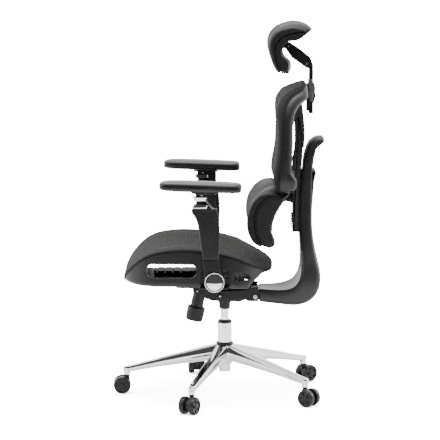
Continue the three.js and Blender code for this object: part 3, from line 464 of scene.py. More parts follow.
def pushed(name, outline, low, high, look, axis=0, rim=2.0, steps=4):
    """A plate with rounded rims: an outline pushed along an axis. axis 0 reads it as (y, z), 1 as (x, z)
    and 2 as (x, y)."""
    outline = np.asarray(outline, float)
    normal = inward(outline)
    turns = np.linspace(0, math.pi / 2, steps)
    profile = [(rim * 1.6, low)] + [(rim * (1 - math.sin(t)), low + rim * (1 - math.cos(t))) for t in turns]
    profile.append((0, low + rim * 1.2))
    profile += [(inset, high - (height - low)) for inset, height in profile[::-1]]
    rings = []
    for inset, height in profile:
        flat = outline + normal * inset
        rings.append(np.insert(flat, axis, height, axis=1))
    return make(name, *loft(rings), look)


def turned(name, profile, look, origin=(0, 0, 0), axis=(0, 0, 1), sides=64, ease=0.6):
    """A lathe piece: (radius, height) points turned about an axis through a point. A profile that starts and
    ends away from the axis makes a ring."""
    ring_shaped = profile[0][0] > 0 and profile[-1][0] > 0
    profile = eased(profile, ease, 3, closed=ring_shaped)
    ends = np.vstack([profile[1:], profile[:1]]) if ring_shaped else profile[1:]
    held = []
    for before, after in zip(profile, ends):
        length = np.linalg.norm(after - before)
        held.append(before)
        if length > 3:
            held += [before + (after - before) * 0.5 / length, after - (after - before) * 0.5 / length]
    if not ring_shaped:
        held.append(profile[-1])
    axis = Vector(axis).normalized()
    side = axis.orthogonal().normalized()
    other = axis.cross(side)
    angles = np.linspace(0, 2 * math.pi, sides, endpoint=False)
    directions = np.array([side, other, axis])
    rings = []
    for radius, height in held:
        spots = np.stack([radius * np.cos(angles), radius * np.sin(angles), np.full(sides, height)], axis=1)
        rings.append(spots @ directions + np.array(origin, float))
    return creased(make(name, *loft(rings, along=ring_shaped), look), 50)


def tube(name, path, radius, look, closed=True, sides=10):
    """A round cord swept along a path."""
    path = np.asarray(path, float)
    count = len(path)
    rings = []
    for i, point in enumerate(path):
        ahead = path[(i + 1) % count] if closed or i + 1 < count else path[i]
        behind = path[i - 1] if closed or i > 0 else path[i]
        forward = Vector(ahead - behind).normalized()
        side = forward.cross(Vector((0, 0, 1)))
        side = side.normalized() if side.length > 1e-3 else Vector((1, 0, 0))
        up = side.cross(forward).normalized()
        rings.append([point + np.array(side) * radius * math.cos(a) + np.array(up) * radius * math.sin(a)
                      for a in np.linspace(0, 2 * math.pi, sides, endpoint=False)])
    return make(name, *loft(rings, along=closed), look)


def settle(piece, body, slot, *replaced):
    """Rides a finished piece on its body and hides the CAD nodes it stands for."""
    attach(piece, body)
    if replaced:
        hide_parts(*replaced)
    return piece


def refine(node, voxel, passes):
    """A CAD node's shape with moulded fillets, in place of the node."""
    slot = slot_of_node[node]
    piece = moulded(copy_of(node, f"finished_{node}", slot), voxel, passes, slot)
    return settle(piece, body_of_node[node], slot, node)


PAD_PRESSURE, PAD_QUALITY, PAD_FRAMES = 4.0, 4, 20


def swell(piece, cap, voxel):
    """Inflates a padded cover with a cloth simulation. No point moves further than `cap`."""
    change(piece, "REMESH", mode="VOXEL", voxel_size=voxel * MM)
    before = np.array([v.co for v in piece.data.vertices])
    modifier = piece.modifiers.new("Cloth", "CLOTH")
    cloth = modifier.settings
    cloth.use_pressure = True
    cloth.uniform_pressure_force = PAD_PRESSURE
    cloth.effector_weights.gravity = 0
    cloth.quality = PAD_QUALITY
    modifier.point_cache.frame_start = 1
    modifier.point_cache.frame_end = PAD_FRAMES
    scene = bpy.context.scene
    for number in range(1, PAD_FRAMES + 1):
        scene.frame_set(number)
    graph = bpy.context.evaluated_depsgraph_get()
    after = np.array([v.co for v in piece.evaluated_get(graph).data.vertices])
    piece.modifiers.clear()
    scene.frame_set(1)
    move = after - before
    size = np.linalg.norm(move, axis=1, keepdims=True)
    move *= np.minimum(1, cap * MM / np.maximum(size, 1e-9))
    piece.data.vertices.foreach_set("co", (before + move).ravel())
    piece.data.update()
    return change(change(piece, "SMOOTH", factor=0.5, iterations=4), "SUBSURF", levels=1, render_levels=1)


# ---------------------------------------------------------------- camera, light and floor
CAMERA_PLACE, CAMERA_LENS, CAMERA_DIP = (8000, -16.5, 1753), 189.2, 8.09
FLOOR_X, FLOOR_Y = (-34, 2.3), 16
LAMPS = [
    # name, place and size in metres, power in watts
    ("Overhead_softbox", (0.2, -0.2, 3.4), 2.4, 150), ("Rear_softbox", (-1.0, 3.4, 2.0), 1.8, 60),
    ("Front_softbox", (0.6, -3.8, 1.7), 1.6, 45)]


def set_stage():
    camera = bpy.data.cameras.new("Studio_camera")
    camera.lens = CAMERA_LENS
    camera.sensor_width = 36
    holder = placed("Studio_camera", camera)
    holder.location = at(CAMERA_PLACE)
    holder.rotation_euler = (math.radians(90 - CAMERA_DIP), 0, math.radians(90))
    bpy.context.scene.camera = holder

    mesh = bpy.data.meshes.new("Studio_floor")
    (x0, x1), y = FLOOR_X, FLOOR_Y
    mesh.from_pydata([(x0, -y, 0), (x1, -y, 0), (x1, y, 0), (x0, y, 0)], [], [(0, 1, 2, 3)])
    floor = placed("Studio_floor", mesh)
    paint = bpy.data.materials.new("Studio_floor_paint")
    paint.use_nodes = True
    coat = Finish(paint.node_tree)
    patch = coat.noise(0.7, 2)
    seen = coat.node("ShaderNodeLightPath", output="Is Camera Ray")
    lit = coat.node("ShaderNodeBsdfDiffuse", None, {"Color": coat.tint(patch, (0.88, 0.88, 0.88),
            (0.9, 0.9, 0.9))})
    shown = coat.node("ShaderNodeBsdfDiffuse", None, {"Color": (7.5, 7.5, 7.5, 1)})
    coat.node("ShaderNodeOutputMaterial", None, {"Surface": coat.node("ShaderNodeMixShader", None,
            {0: seen, 1: lit, 2: shown})})
    mesh.materials.append(paint)

    for name, place, size, power in LAMPS:
        lamp = bpy.data.lights.new(name, "AREA")
        lamp.shape = "SQUARE"
        lamp.size = size
        lamp.energy = power
        light = placed(name, lamp)
        light.location = place
        light.rotation_euler = (Vector((0, 0, 0.7)) - Vector(place)).to_track_quat("-Z", "Y").to_euler()

    world = bpy.data.worlds.new("White_studio")
    bpy.context.scene.world = world
    world.use_nodes = True
    sky = Finish(world.node_tree)
    direction = sky.node("ShaderNodeTexCoord", output="Generated")
    x, z = sky.part_of(direction, 0), sky.part_of(direction, 2)
    room = sky.step(x, 0.3, 0.75) * (1 - sky.step(z, 0.4, 0.7))
    colour = sky.tint(room, (1, 1, 1), (0.035, 0.035, 0.035))
    seen = sky.node("ShaderNodeLightPath", output="Is Camera Ray")
    lit = sky.node("ShaderNodeBackground", None, {"Color": colour, "Strength": 2.4})
    plain = sky.node("ShaderNodeBackground", None, {"Color": (1, 1, 1, 1), "Strength": 20.0})
    both = sky.node("ShaderNodeMixShader", None, {0: seen, 1: lit, 2: plain})
    sky.node("ShaderNodeOutputWorld", None, {"Surface": both})


set_stage()


# ---------------------------------------------------------------- star base and gas spring
def leg_ring(y, width, low, high):
    """Ring across a leg: a flat top with eased shoulders and sides that lean in downwards."""
    half = width / 2
    outline = [(-0.8 * half, low), (0.8 * half, low), (half, low + 0.45 * (high - low)),
               (0.84 * half, high), (-0.84 * half, high),
               (-half, low + 0.45 * (high - low))]
    return [(x, y, z) for x, z in eased(outline, [4, 4, 9, 3.2, 3.2, 9], 5)]


def base_leg(number, stem):
    reach = math.hypot(stem[0], stem[1])
    stations = smooth_line([
        (29, 46, 122, 176), (120, 37.5, 110, 153), (230, 30, 94.5, 125.5), (325, 25.2, 77.5, 100.5),
        (345, 24.4, 74.5, 96.5)], 22)
    tips = [(reach + 13 * math.sin(t), 24.4 * (0.25 + 0.75 * math.cos(t)), 75.5 + 4 * (1 - math.cos(t)),
             96 - 3 * (1 - math.cos(t)))
            for t in np.linspace(0.25, 1.45, 7)]
    rings = np.array([leg_ring(*station) for station in [*stations, *tips]])
    angle = math.atan2(stem[1], stem[0]) - math.pi / 2
    turn = np.array([[math.cos(angle), math.sin(angle), 0], [-math.sin(angle), math.cos(angle), 0],
                     [0, 0, 1]])
    leg = creased(make(f"base_leg_{number}", *loft(rings @ turn), "chrome"), 50)
    settle(leg, "base", "chrome")
    socket = turned(f"base_leg_socket_{number}", [(6.2, 64), (10, 64), (11.4, 66), (11.6, 84), (6.2, 84)],
                    "chrome",
                    (stem[0], stem[1], 0), sides=40, ease=1.2)
    settle(socket, "base", "chrome")


def build_base():
    hub = turned("base_hub", [(23, 106), (25.5, 106), (27, 108), (30, 116), (37, 126), (39.5, 136),
                              (39.6, 150), (37.6, 166), (33, 174),
                              (28, 176), (25.6, 176)], "chrome", sides=96, ease=2)
    settle(hub, "base", "chrome", "star_base")
    collar = turned("base_hub_gap_ring", [(25.1, 173), (28.6, 173), (30, 177), (30, 182.6), (28.4, 185.4),
                                          (25.1, 185.4)], "mechanism", sides=64)
    settle(collar, "base", "mechanism")
    for k in range(1, 6):
        base_leg(k, from_frame(joints[f"caster_turn_{k}"]["pos_m"]))
    sleeve = turned("gas_spring_tube", [(15.2, 80), (20.4, 80), (25, 176), (25, 252.6), (24, 254),
                                        (15.2, 254)], "chrome", sides=96)
    settle(sleeve, "base", "chrome", "gas_tube")
    # Painted reflection: the two dimples in the tube are drawn as small raised domes in dark nylon, standing for
    # the dark reflection in the dents of the chrome.
    for name, angle in (("left", -6), ("right", 8)):
        turn = math.radians(angle)
        out = (math.cos(turn), math.sin(turn), 0)
        dimple = turned(f"gas_spring_dimple_{name}", [(0, 24.2), (1.1, 25.2), (1.9, 25.25), (2.1, 24.4)],
                        "mechanism", (0, 0, 239), out, 20, 0.2)
        settle(dimple, "base", "mechanism")
    ring = turned("gas_spring_wiper_ring", [(14.5, 254.4), (24.4, 254.4), (25.5, 256.5), (25.5, 260),
                                            (23.6, 262.6), (17, 263), (14.5, 263)],
                  "mechanism", sides=64)
    settle(ring, "base", "mechanism", "gas_tube_ring")
    rod = turned("gas_spring_rod", [(0, 140), (13.4, 140), (14, 141), (14, 304), (12.8, 345), (0, 345)],
                 "chrome", sides=64)
    settle(rod, "piston", "steel", "gas_piston")


build_base()


# ---------------------------------------------------------------- casters
def wheel_shell():
    """One wheel about the X axis with its outer face towards +X, its middle at the origin."""
    profile = [(0, -9.6), (26, -9.6), (29, -9.8), (30.3, -8.4), (30.5, -1), (30.5, 3.5), (29.6, 7.6),
               (27.4, 10), (25.6, 9.4),
               (24.4, 7), (9.6, 7), (8.4, 9), (6.5, 9.4), (0, 9.4)]
    wheel = turned("caster_wheel_pattern", profile, "wheel", axis=(1, 0, 0), sides=56, ease=1)
    for k in range(5):
        angle = math.radians(72 * k + 18)
        pocket = rounded_rectangle(-4.8, 11.5, 4.8, 23, 2.2, 4.4, 5)
        flat = pocket @ np.array([[math.cos(angle), math.sin(angle)], [-math.sin(angle), math.cos(angle)]])
        cutter = pushed("pocket_cutter", flat, 3.2, 14, "wheel", axis=0, rim=0.6, steps=3)
        cut_from(wheel, cutter)
    return creased(wheel, 40)


def build_casters():
    pattern = wheel_shell()
    for k in range(1, 6):
        centres = {}
        for side in ("left", "right"):
            low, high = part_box(f"caster_wheel_{side}_{k}")
            centres[side] = from_frame((low + high) / 2)
        across = centres["left"] - centres["right"]
        across /= np.linalg.norm(across)
        for side, way in (("left", 1), ("right", -1)):
            out = across * way
            turn = np.array([out, np.cross((0, 0, 1), out), (0, 0, 1)])
            wheel = pattern.data.copy()
            spots = np.array([v.co for v in wheel.vertices]) - COLUMN
            wheel.vertices.foreach_set("co", (spots @ turn + at(centres[side])).ravel())
            wheel.update()
            piece = placed(f"caster_wheel_{side}_disc_{k}", wheel)
            settle(piece, f"caster_wheels_{k}", "wheel", f"caster_wheel_{side}_{k}")
        refine(f"caster_hood_{k}", 0.9, 3)
        stem = from_frame(joints[f"caster_turn_{k}"]["pos_m"])
        ring = turned(f"caster_stem_ring_{k}", [(5, 61.5), (10.6, 61.5), (11, 63.5), (9.4, 67.4),
                                                (5, 67.4)], "mechanism",
                      (stem[0], stem[1], 0), sides=36, ease=0.8)
        settle(ring, f"caster_{k}", "mechanism")
    bpy.data.objects.remove(pattern)


build_casters()


# ---------------------------------------------------------------- tilt mechanism
def hex_head(name, x, y, z, size, out, body):
    """Domed hexagon bolt head, facing along X."""
    head = turned(f"{name}_head", [(0, 1), (size, 1), (size, 3.6), (size - 1.3, 4.6), (2.2, 4.6),
                                   (1.8, 3.4), (0, 3.4)], "steel", (x, y, z),
                  (out, 0, 0), 6, 0.3)
    settle(head, body, "steel")


def build_mechanism():
    refine("tilt_housing", 1.4, 3)
    knob_axis = joints["tension_turn"]["axis"]
    middle = from_frame(joints["tension_turn"]["pos_m"])
    refine("tension_tube", 1.1, 3)
    knob = turned("tension_knob_grip", [
        (0, -25.5), (24, -25.5), (28.6, -24.2), (29.6, -20), (30, -14), (31, 12), (31.4, 14), (31.4, 23),
        (30.2, 25.3), (25.5, 25.5),
        (23.6, 24.4), (23.4, 14), (0, 14)], "mechanism", middle, knob_axis, 96, 1.2)
    settle(knob, "tension_knob", "mechanism", "tension_knob")
    axis = Vector(knob_axis).normalized()
    side = axis.orthogonal().normalized()
    for k in range(24):
        angle = math.radians(15 * k)
        out = side * math.cos(angle) + axis.cross(side) * math.sin(angle)
        path = [np.array(middle) + np.array(out) * (30.1 + 0.028 * (h + 14)) + np.array(axis) * h
                for h in np.linspace(-17, 9, 9)]
        rib = tube(f"tension_knob_rib_{k + 1}", path, 0.7, "mechanism", closed=False, sides=6)
        settle(rib, "tension_knob", "mechanism")
    for node in ("lift_lever", "tilt_lever"):
        refine(node, 1.1, 4)
    for node in ("back_bracket", "seat_carrier", "seat_pan"):
        refine(node, 1.5, 2)
    for out in (1, -1):
        side = "left" if out > 0 else "right"
        hex_head(f"back_pivot_{side}", out * 69.6, -16, 358, 4.0, out, "chassis")
        hex_head(f"seat_pivot_{side}", out * 68.6, -95, 376, 3.2, out, "chassis")
        hex_head(f"back_bolt_{side}", out * 68.6, 106, 354, 3.6, out, "back_frame")


build_mechanism()


# ---------------------------------------------------------------- seat
SEAT_HALF, SEAT_FRONT, SEAT_BACK, SEAT_WALL = 250, -347, 165, 24
CORNER_FRONT, CORNER_BACK = 118, 122
seat_seam = reading(smooth_line([
    (-347, 436), (-338, 454), (-321, 477), (-291, 506), (-250, 529), (-195, 540.5), (-140, 543.5),
    (-85, 540), (-18, 530), (36, 516),
    (84, 500), (126, 484), (150, 474), (165, 466)], 70))
seat_under = reading([(-347, 425), (-338, 424), (-305, 421), (-280, 420), (-150, 418), (96, 412),
                      (104, 419), (118, 431), (140, 446), (148, 454),
                      (160, 458), (165, 460)])
seat_plan = evenly(rounded_rectangle(-SEAT_HALF, SEAT_FRONT, SEAT_HALF, SEAT_BACK, CORNER_FRONT,
                                     CORNER_BACK, 40), 440)


def bowed(points):
    """The back edge of the seat curved forwards towards its corners."""
    points = np.array(points, float)
    points[..., 1] -= 38 * (points[..., 0] / SEAT_HALF) ** 2 * np.clip((points[..., 1] - 43) / 122, 0, 1)
    return points


def seat_half_width(y):
    in_front = np.maximum(0, SEAT_FRONT + CORNER_FRONT - y)
    behind = np.maximum(0, y - (SEAT_BACK - CORNER_BACK))
    front = SEAT_HALF - CORNER_FRONT + np.sqrt(np.maximum(0, CORNER_FRONT**2 - in_front**2))
    back = SEAT_HALF - CORNER_BACK + np.sqrt(np.maximum(0, CORNER_BACK**2 - behind**2))
    return np.where(in_front > 0, front, back)


def seat_frame_piece():
    normal = inward(seat_plan)
    rings = []
    for (x, y), (nx, ny) in zip(seat_plan, normal):
        top, low = seat_seam(y), seat_under(y)
        r = min(7.0, (top - low) / 2.4)
        section = [(1.5, top - 0.4), (0, top - 3), (0, top - 0.4 * (top - low)), (0, low + 1.7 * r),
                   (0.8 * r, low + 0.5 * r), (1.9 * r, low),
                   (SEAT_WALL - 3, low + 1.4 * r), (SEAT_WALL, low + 2 * r), (SEAT_WALL, top - r),
                   (SEAT_WALL - 4, top), (8, top)]
        rings.append([(x + nx * inset, y + ny * inset, z) for inset, z in section])
    piece = make("seat_rim_shell", *loft(bowed(rings), along=True), "frame")
    slot = pushed("cutter", rounded_rectangle(-268, 449, -96, 500, 24.5, 24.5, 10), -275, 275, "frame")
    window = pushed("cutter", smooth_line([(29, 446), (31, 457), (40, 466), (54, 470), (72, 466), (84, 457),
                                           (86, 449), (78, 442), (56, 440),
                                           (36, 441), (29, 446)], 40)[:-1], -275, 275, "frame")
    arm_gap = pushed("cutter", [(-83, 400), (17, 400), (17, 453), (-83, 453)], -270, 270, "frame")
    recesses = [pushed("cutter", eased([(-78, 395), (12, 395), (12, 478), (-78, 478)], 8),
                       *sorted((s * 239, s * 262)), "frame")
                for s in (1, -1)]
    cut_from(piece, slot, window, arm_gap, *recesses)
    moulded(piece, 1.9, 4, "frame")
    return settle(piece, "seat", "frame", "seat_frame")


def seat_mesh_piece():
    """The stretched sheet: rows across the seat, each with its ribs raised by their place along it."""
    line = smooth_line([(y, seat_seam(y)) for y in np.linspace(SEAT_FRONT, SEAT_BACK, 60)], 700)
    run = np.concatenate([[0], np.cumsum(np.linalg.norm(np.diff(line, axis=0), axis=1))])
    rows, marks = [], []
    across = 64
    u = np.sin(np.linspace(-0.5, 0.5, across + 1) * math.pi)
    for (y, seam), s in zip(line, run):
        half = max(float(seat_half_width(y)), SEAT_HALF - CORNER_FRONT) - 1
        edge = np.minimum((1 - np.abs(u)) * half, min(y - SEAT_FRONT, SEAT_BACK - y))
        near = np.clip(np.maximum(edge, 0) / 30, 0, 1)
        inside = np.clip((edge - SEAT_WALL - 4) / 150, 0, 1)
        inside = inside * inside * (3 - 2 * inside)
        lift = 3 * np.sqrt(1 - (1 - near) ** 2) - 12 * (1 - u * u) * inside
        rib = 0.35 * math.sin(2 * math.pi * s / 3.5) * np.clip(edge / 9, 0, 1)
        rows.append(np.stack([u * half, np.full(across + 1, y), seam + 4 + lift + rib], axis=1))
        marks.append(np.full(across + 1, s * MM))
    return sheet_piece("seat_mesh_cloth", bowed(rows), marks, "seat_mesh", -1.6)


def sheet_piece(name, rows, marks, look, thickness):
    rows = np.array(rows)
    n, m = rows.shape[:2]
    faces = [(i * m + j, i * m + j + 1, (i + 1) * m + j + 1,
              (i + 1) * m + j) for i in range(n - 1) for j in range(m - 1)]
    mesh = bpy.data.meshes.new(name)
    mesh.from_pydata([tuple(p) for p in at(rows.reshape(-1, 3))], [], faces)
    mesh.attributes.new("along", "FLOAT", "POINT").data.foreach_set("value",
            np.array(marks, np.float32).ravel())
    mesh.materials.append(looks[look])
    mesh.shade_smooth()
    return change(placed(name, mesh), "SOLIDIFY", thickness=abs(thickness) * MM,
                  offset=-1 if thickness < 0 else 1)


def band_around(name, plan, height, section, look, axis=2):
    """A closed band that follows an outline. section holds (inset, rise) points, height(i) gives rise 0."""
    normal = inward(plan)
    rings = []
    for i, (spot, way) in enumerate(zip(plan, normal)):
        base = height(i)
        rings.append([np.insert(spot + way * inset, axis, base + rise) for inset, rise in section])
    return make(name, *loft(rings, along=True), look)


def stitches(name, plan, height, inset, rise, pitch, look, axis=2):
    """Small raised stitches along an outline, each a slim four-sided lozenge."""
    run = np.concatenate([[0], np.cumsum(np.linalg.norm(np.diff(np.vstack([plan, plan[:1]]), axis=0),
                                                        axis=1))])
    count = int(run[-1] / pitch)
    normal = inward(plan)
    spots = np.array([np.insert(p + w * inset, axis, height(i) + rise) for i,
                      (p, w) in enumerate(zip(plan, normal))])
    outs = np.array([np.insert(-w, axis, 0.25) for w in normal])
    loop, loop_out = np.vstack([spots, spots[:1]]), np.vstack([outs, outs[:1]])
    points, faces = [], []
    for k in range(count):
        s = run[-1] * (k + 0.5) / count
        a, middle, b = (np.array([np.interp(s + d, run, loop[:,
                c]) for c in range(3)]) for d in (-0.34 * pitch, 0, 0.34 * pitch))
        out = np.array([np.interp(s, run, loop_out[:, c]) for c in range(3)])
        out /= np.linalg.norm(out)
        side = np.cross(b - a, out)
        side /= max(np.linalg.norm(side), 1e-9)
        n = len(points)
        points += [a, b, middle + side * 0.5, middle - side * 0.5, middle + out * 0.7, middle - out * 0.3]
        faces += [(n + p, n + q, n + r) for p, q, r in
                  ((0, 2, 4), (2, 1, 4), (1, 3, 4), (3, 0, 4), (2, 0, 5), (1, 2, 5), (3, 1, 5), (0, 3, 5))]
    return make(name, points, faces, look)


def build_seat():
    seat_frame_piece()
    cloth = seat_mesh_piece()
    settle(cloth, "seat", "mesh", "seat_mesh")
    tops = [float(seat_seam(y)) for y in seat_plan[:, 1]]
    edge = bowed(seat_plan)
    welt = band_around("seat_seam_welt", edge, lambda i: tops[i], [
        (3, 5.4), (0.2, 5.2), (-1.4, 3.4), (-1.2, 1.4), (-0.2, 0.6), (-1.3, -0.4), (-1.5, -2.6),
        (-0.4, -4.4), (1.5, -4.6), (6, -1), (8, 2)], "seam")
    settle(welt, "seat", "mesh")
    settle(stitches("seat_seam_stitches", edge, lambda i: tops[i], -1.1, 0.6, 6.0, "thread"), "seat",
           "mesh")
    lip = band_around("seat_frame_lip", edge, lambda i: tops[i],
                      [(2, -6.2), (-0.9, -6.6), (-1.3, -7.6), (-0.9, -8.8), (2, -9.2)], "frame")
    settle(lip, "seat", "frame")


build_seat()


# ---------------------------------------------------------------- arms
ARM_X, ARM_HALF = 316, 16
DISC = (-35, 450)


def build_arm(side, way):
    def sideways(name, outline, inner, outer, look, body, *replaced, rim=2.0, ease=3.0):
        x0, x1 = sorted((way * (ARM_X + inner), way * (ARM_X + outer)))
        piece = pushed(f"{name}_{side}", eased(outline, ease, 5), x0, x1, look, rim=rim)
        return settle(piece, body, look, *[f"{node}_{side}" for node in replaced])

    refine(f"arm_bracket_{side}", 1.5, 4)
    seat_side, slider_side = "seat_carrier", f"arm_slider_{side}"
    x = way * (ARM_X + ARM_HALF + 0.4)
    rim = turned(f"arm_disc_ring_{side}", [(30.2, 0), (33.2, 0), (33.4, 2.6), (32.8, 4.4), (31.6, 5),
                                           (30.4, 4.2)], "chrome",
                 (x, *DISC), (way, 0, 0), 96, 0.8)
    settle(rim, seat_side, "chrome", f"arm_cap_{side}")
    groove = turned(f"arm_disc_groove_{side}", [(0, 0), (29.6, 0), (29.6, 2.4), (0, 2.4)], "mechanism",
                    (x, *DISC), (way, 0, 0), 64, 0.3)
    settle(groove, seat_side, "mechanism")
    dome = turned(f"arm_disc_mirror_{side}", [(0, 1), (28.6, 1), (29, 2)] + [
        (r, 5.4 - 0.0042 * r * r) for r in (28.4, 26, 23, 20, 16, 12, 8, 4, 0)], "chrome",
                  (x, *DISC), (way, 0, 0), 96, 0.8)
    settle(dome, seat_side, "chrome")
    upright = np.vstack([smooth_line([(-20.5, 528), (-17.8, 585), (-18.4, 645), (-24.5, 688), (-27, 699)],
                                     14), [(-108, 699), (-112.5, 694), (-110, 685)],
                         smooth_line([(-106, 679), (-99, 668), (-91, 645), (-85.5, 610), (-80, 570),
                                      (-74, 528)], 14)])
    piece = pushed(f"arm_upright_shell_{side}", upright, *sorted((way * (ARM_X - ARM_HALF),
            way * (ARM_X + ARM_HALF))), "frame", rim=4.5, steps=5)
    settle(piece, seat_side, "frame", f"arm_upright_{side}")
    sideways("arm_slider_block", [(-98, 740.5), (-98, 751.6), (-40, 751.6), (-30, 747), (-30, 700),
                                  (-61, 700), (-61, 724), (-80, 738)],
             -13, 13, "mechanism", slider_side, "arm_slider", rim=1.6, ease=2)
    sideways("arm_slider_core", [(-97, 700), (-97, 745), (-62, 745), (-62, 700)], -11.5, 11.5, "mechanism",
             slider_side, rim=1, ease=1)
    for part, levels in (("foot", [(699.7, -108, -62, 14), (701, -110, -60, 15.2), (711, -106, -58, 17),
                                   (713.5, -104, -60, 16.6), (715.5, -100, -64, 13)]),
                         ("band", [(726, -103, -62, 12.6), (727.5, -105, -60.5, 13.6),
                                   (737.5, -106, -59.5, 15.8), (739.5, -103, -62, 14.2)])):
        rings = [np.insert(rounded_rectangle(way * ARM_X - half, front, way * ARM_X + half, back, 4, 4, 6),
                           2, z, axis=1)
                 for z, front, back, half in levels]
        sleeve = creased(make(f"arm_collar_{part}_{side}", *loft(rings), "chrome"), 25)
        settle(sleeve, slider_side, "chrome", *([f"arm_collar_{side}"] if part == "foot" else []))
    sideways("arm_collar_strut", [(-60, 737), (-65, 737), (-66, 728), (-48, 705), (-40, 699.6),
                                  (-35, 699.6), (-45, 712), (-60, 729)],
             12, 15.2, "chrome", slider_side, rim=0.8, ease=2)
    for out in (1, -1):
        screw = turned(f"arm_slider_screw_{'outer' if out > 0 else 'inner'}_{side}",
                       [(0, 0), (2.6, 0), (2.8, 0.7), (1.9, 1.5), (0, 1.6)], "steel",
                       (way * ARM_X + out * 13, -78, 746), (out, 0, 0), 24, 0.3)
        settle(screw, slider_side, "steel")
    refine(f"arm_pad_base_{side}", 1.0, 3)

    stations = np.array([
        (-220, 0.46, 9, 19), (-218.6, 0.6, 6.5, 22), (-214, 0.72, 3.8, 25), (-204, 0.83, 1.8, 28.6),
        (-180, 0.93, 0.3, 31), (-120, 0.99, 0, 31.7),
        (-40, 1, 0, 30.8), (20, 0.98, 0, 30.2), (40, 0.93, 0.4, 29.2), (50, 0.84, 1.6, 27.6),
        (54, 0.72, 4, 25), (55.4, 0.56, 8, 21)])
    rings = []
    for y, wide, low, high in stations:
        lean = -0.03 * (y + 80)
        half, z0, tall = 47 * wide, 757 + low + lean, high + 3 - low
        right = [(0.6, 0), (0.9, 0.05), (0.985, 0.25), (1, 0.5), (0.97, 0.74), (0.86, 0.93), (0.6, 1.0)]
        points = [(w * half, z0 + t * tall) for w, t in right]
        rings.append([(way * ARM_X + a, y, b) for a, b in points] + [(way * ARM_X - a, y, b) for a,
                b in points[::-1]])
    pad = make(f"arm_pad_skin_{side}", *loft(rings), "arm_pad")
    change(pad, "SUBSURF", levels=3, render_levels=3)
    settle(pad, f"arm_pad_{side}", "arm_pad", f"arm_pad_{side}")


build_arm("left", 1)
build_arm("right", -1)


# ---------------------------------------------------------------- back frame
BACK_STATIONS = [
    # middle of the inner face (y, z), direction out of it, half width, thickness, chamfer, dish, sweep
    (118, 382, 0, -1, 64, 47, 2, 3, 0), (128, 382, 0, -1, 66, 48, 2, 5, 0),
    (165, 381, 0, -1, 78, 50, 3, 9, 0),
    (210, 385, 0.02, -1, 100, 56, 4, 12, 0), (238, 396, 0.34, -0.94, 116, 70, 6, 12, 0),
    (254, 416, 0.74, -0.67, 125, 84, 9, 12, 0),
    (261, 440, 0.96, -0.28, 127, 76, 14, 12, 0), (263, 470, 1, -0.06, 120, 65, 16, 12, 0),
    (261, 530, 1, 0, 98, 52, 14, 13, 0),
    (257, 600, 1, 0, 80, 47, 12, 15, 0), (258, 700, 1, 0, 68, 46, 11, 15, 0),
    (264, 770, 1, 0, 66, 42, 10, 11, 0),
    (269, 806, 1, -0.03, 64, 35, 7, 8, 2), (271, 840, 0.98, -0.16, 64, 36, 6, 9, 4),
    (276, 872, 0.9, -0.44, 63, 35, 6, 9, 9),
    (287, 899, 0.68, -0.74, 61, 33, 5, 8, 13), (307, 914, 0.34, -0.94, 58, 32, 5, 6, 13),
    (328, 917, 0.35, -0.94, 54, 22, 4, 3, 10),
    (342, 913, 0.3, -0.95, 46, 11, 3, 1, 7)]


def back_frame_ring(station):
    y, z, out_y, out_z, half, thick, chamfer, dish, sweep = station
    length = math.hypot(out_y, out_z)

    def spot(u, depth):
        d = depth + sweep * u * u
        return (u * half, y + out_y / length * d, z + out_z / length * d)

    front = [spot(u, dish * (1 - (u / 0.84) ** 2)) for u in (-0.8, -0.5, 0, 0.5, 0.8)]
    right = [spot(0.9, 0.12 * chamfer), spot(0.985, chamfer), spot(1.0, 0.5 * (chamfer + thick)),
             spot(0.985, thick * 0.86)]
    rear = [spot(u, thick) for u in (0.86, 0.45, 0, -0.45, -0.86)]
    left = [(-x, a, b) for x, a, b in right[::-1]]
    return [*front, *right, *rear, *left]


def build_back_frame():
    rings = [back_frame_ring(station) for station in smooth_line(BACK_STATIONS, 38)]
    shell = make("back_frame_shell", *loft(rings), "back_frame")
    # Painted shade: the front dish faces above 425 mm take a near-black nylon that stands in for the shadow on the
    # dished front face.
    shell.data.materials.append(looks["painted_front_shade"])
    corners = from_frame([v.co for v in shell.data.vertices])
    inner = {tuple(np.round(spot, 2)) for ring in rings for spot in ring[:5]}
    for polygon in shell.data.polygons:
        spots = corners[list(polygon.vertices)]
        recessed = all(tuple(np.round(spot, 2)) in inner for spot in spots)
        polygon.material_index = int(recessed and spots[:, 2].min() > 425)
    change(shell, "SUBSURF", levels=2, render_levels=2)
    settle(shell, "back_frame", "frame", "back_frame")
    tongue = pushed("back_frame_tongue", eased([(88, 344), (124, 344), (124, 378), (92, 378), (88, 374)],
                                               3), -59.6, 59.6, "frame", rim=2)
    settle(tongue, "back_frame", "frame")
    bump = turned("back_frame_drain_boss", [(0, 331), (5.4, 331), (6, 333), (6.4, 340), (0, 340)], "frame",
                  (0, 176, 0), sides=36)
    settle(bump, "back_frame", "frame")
    cover = pushed("back_frame_cover_shell", eased([(291, 641), (302, 641), (305.5, 700), (310, 760),
                                                    (315.5, 786), (315.5, 795), (309, 794), (297, 768),
                                                    (292, 748), (290, 700)],
                                                   [1, 1, 30, 20, 4, 3, 3, 10, 10, 10], 5), -59, 59,
                                                   "frame", rim=6, steps=6)
    settle(cover, "back_frame", "frame", "back_frame_cover")


build_back_frame()


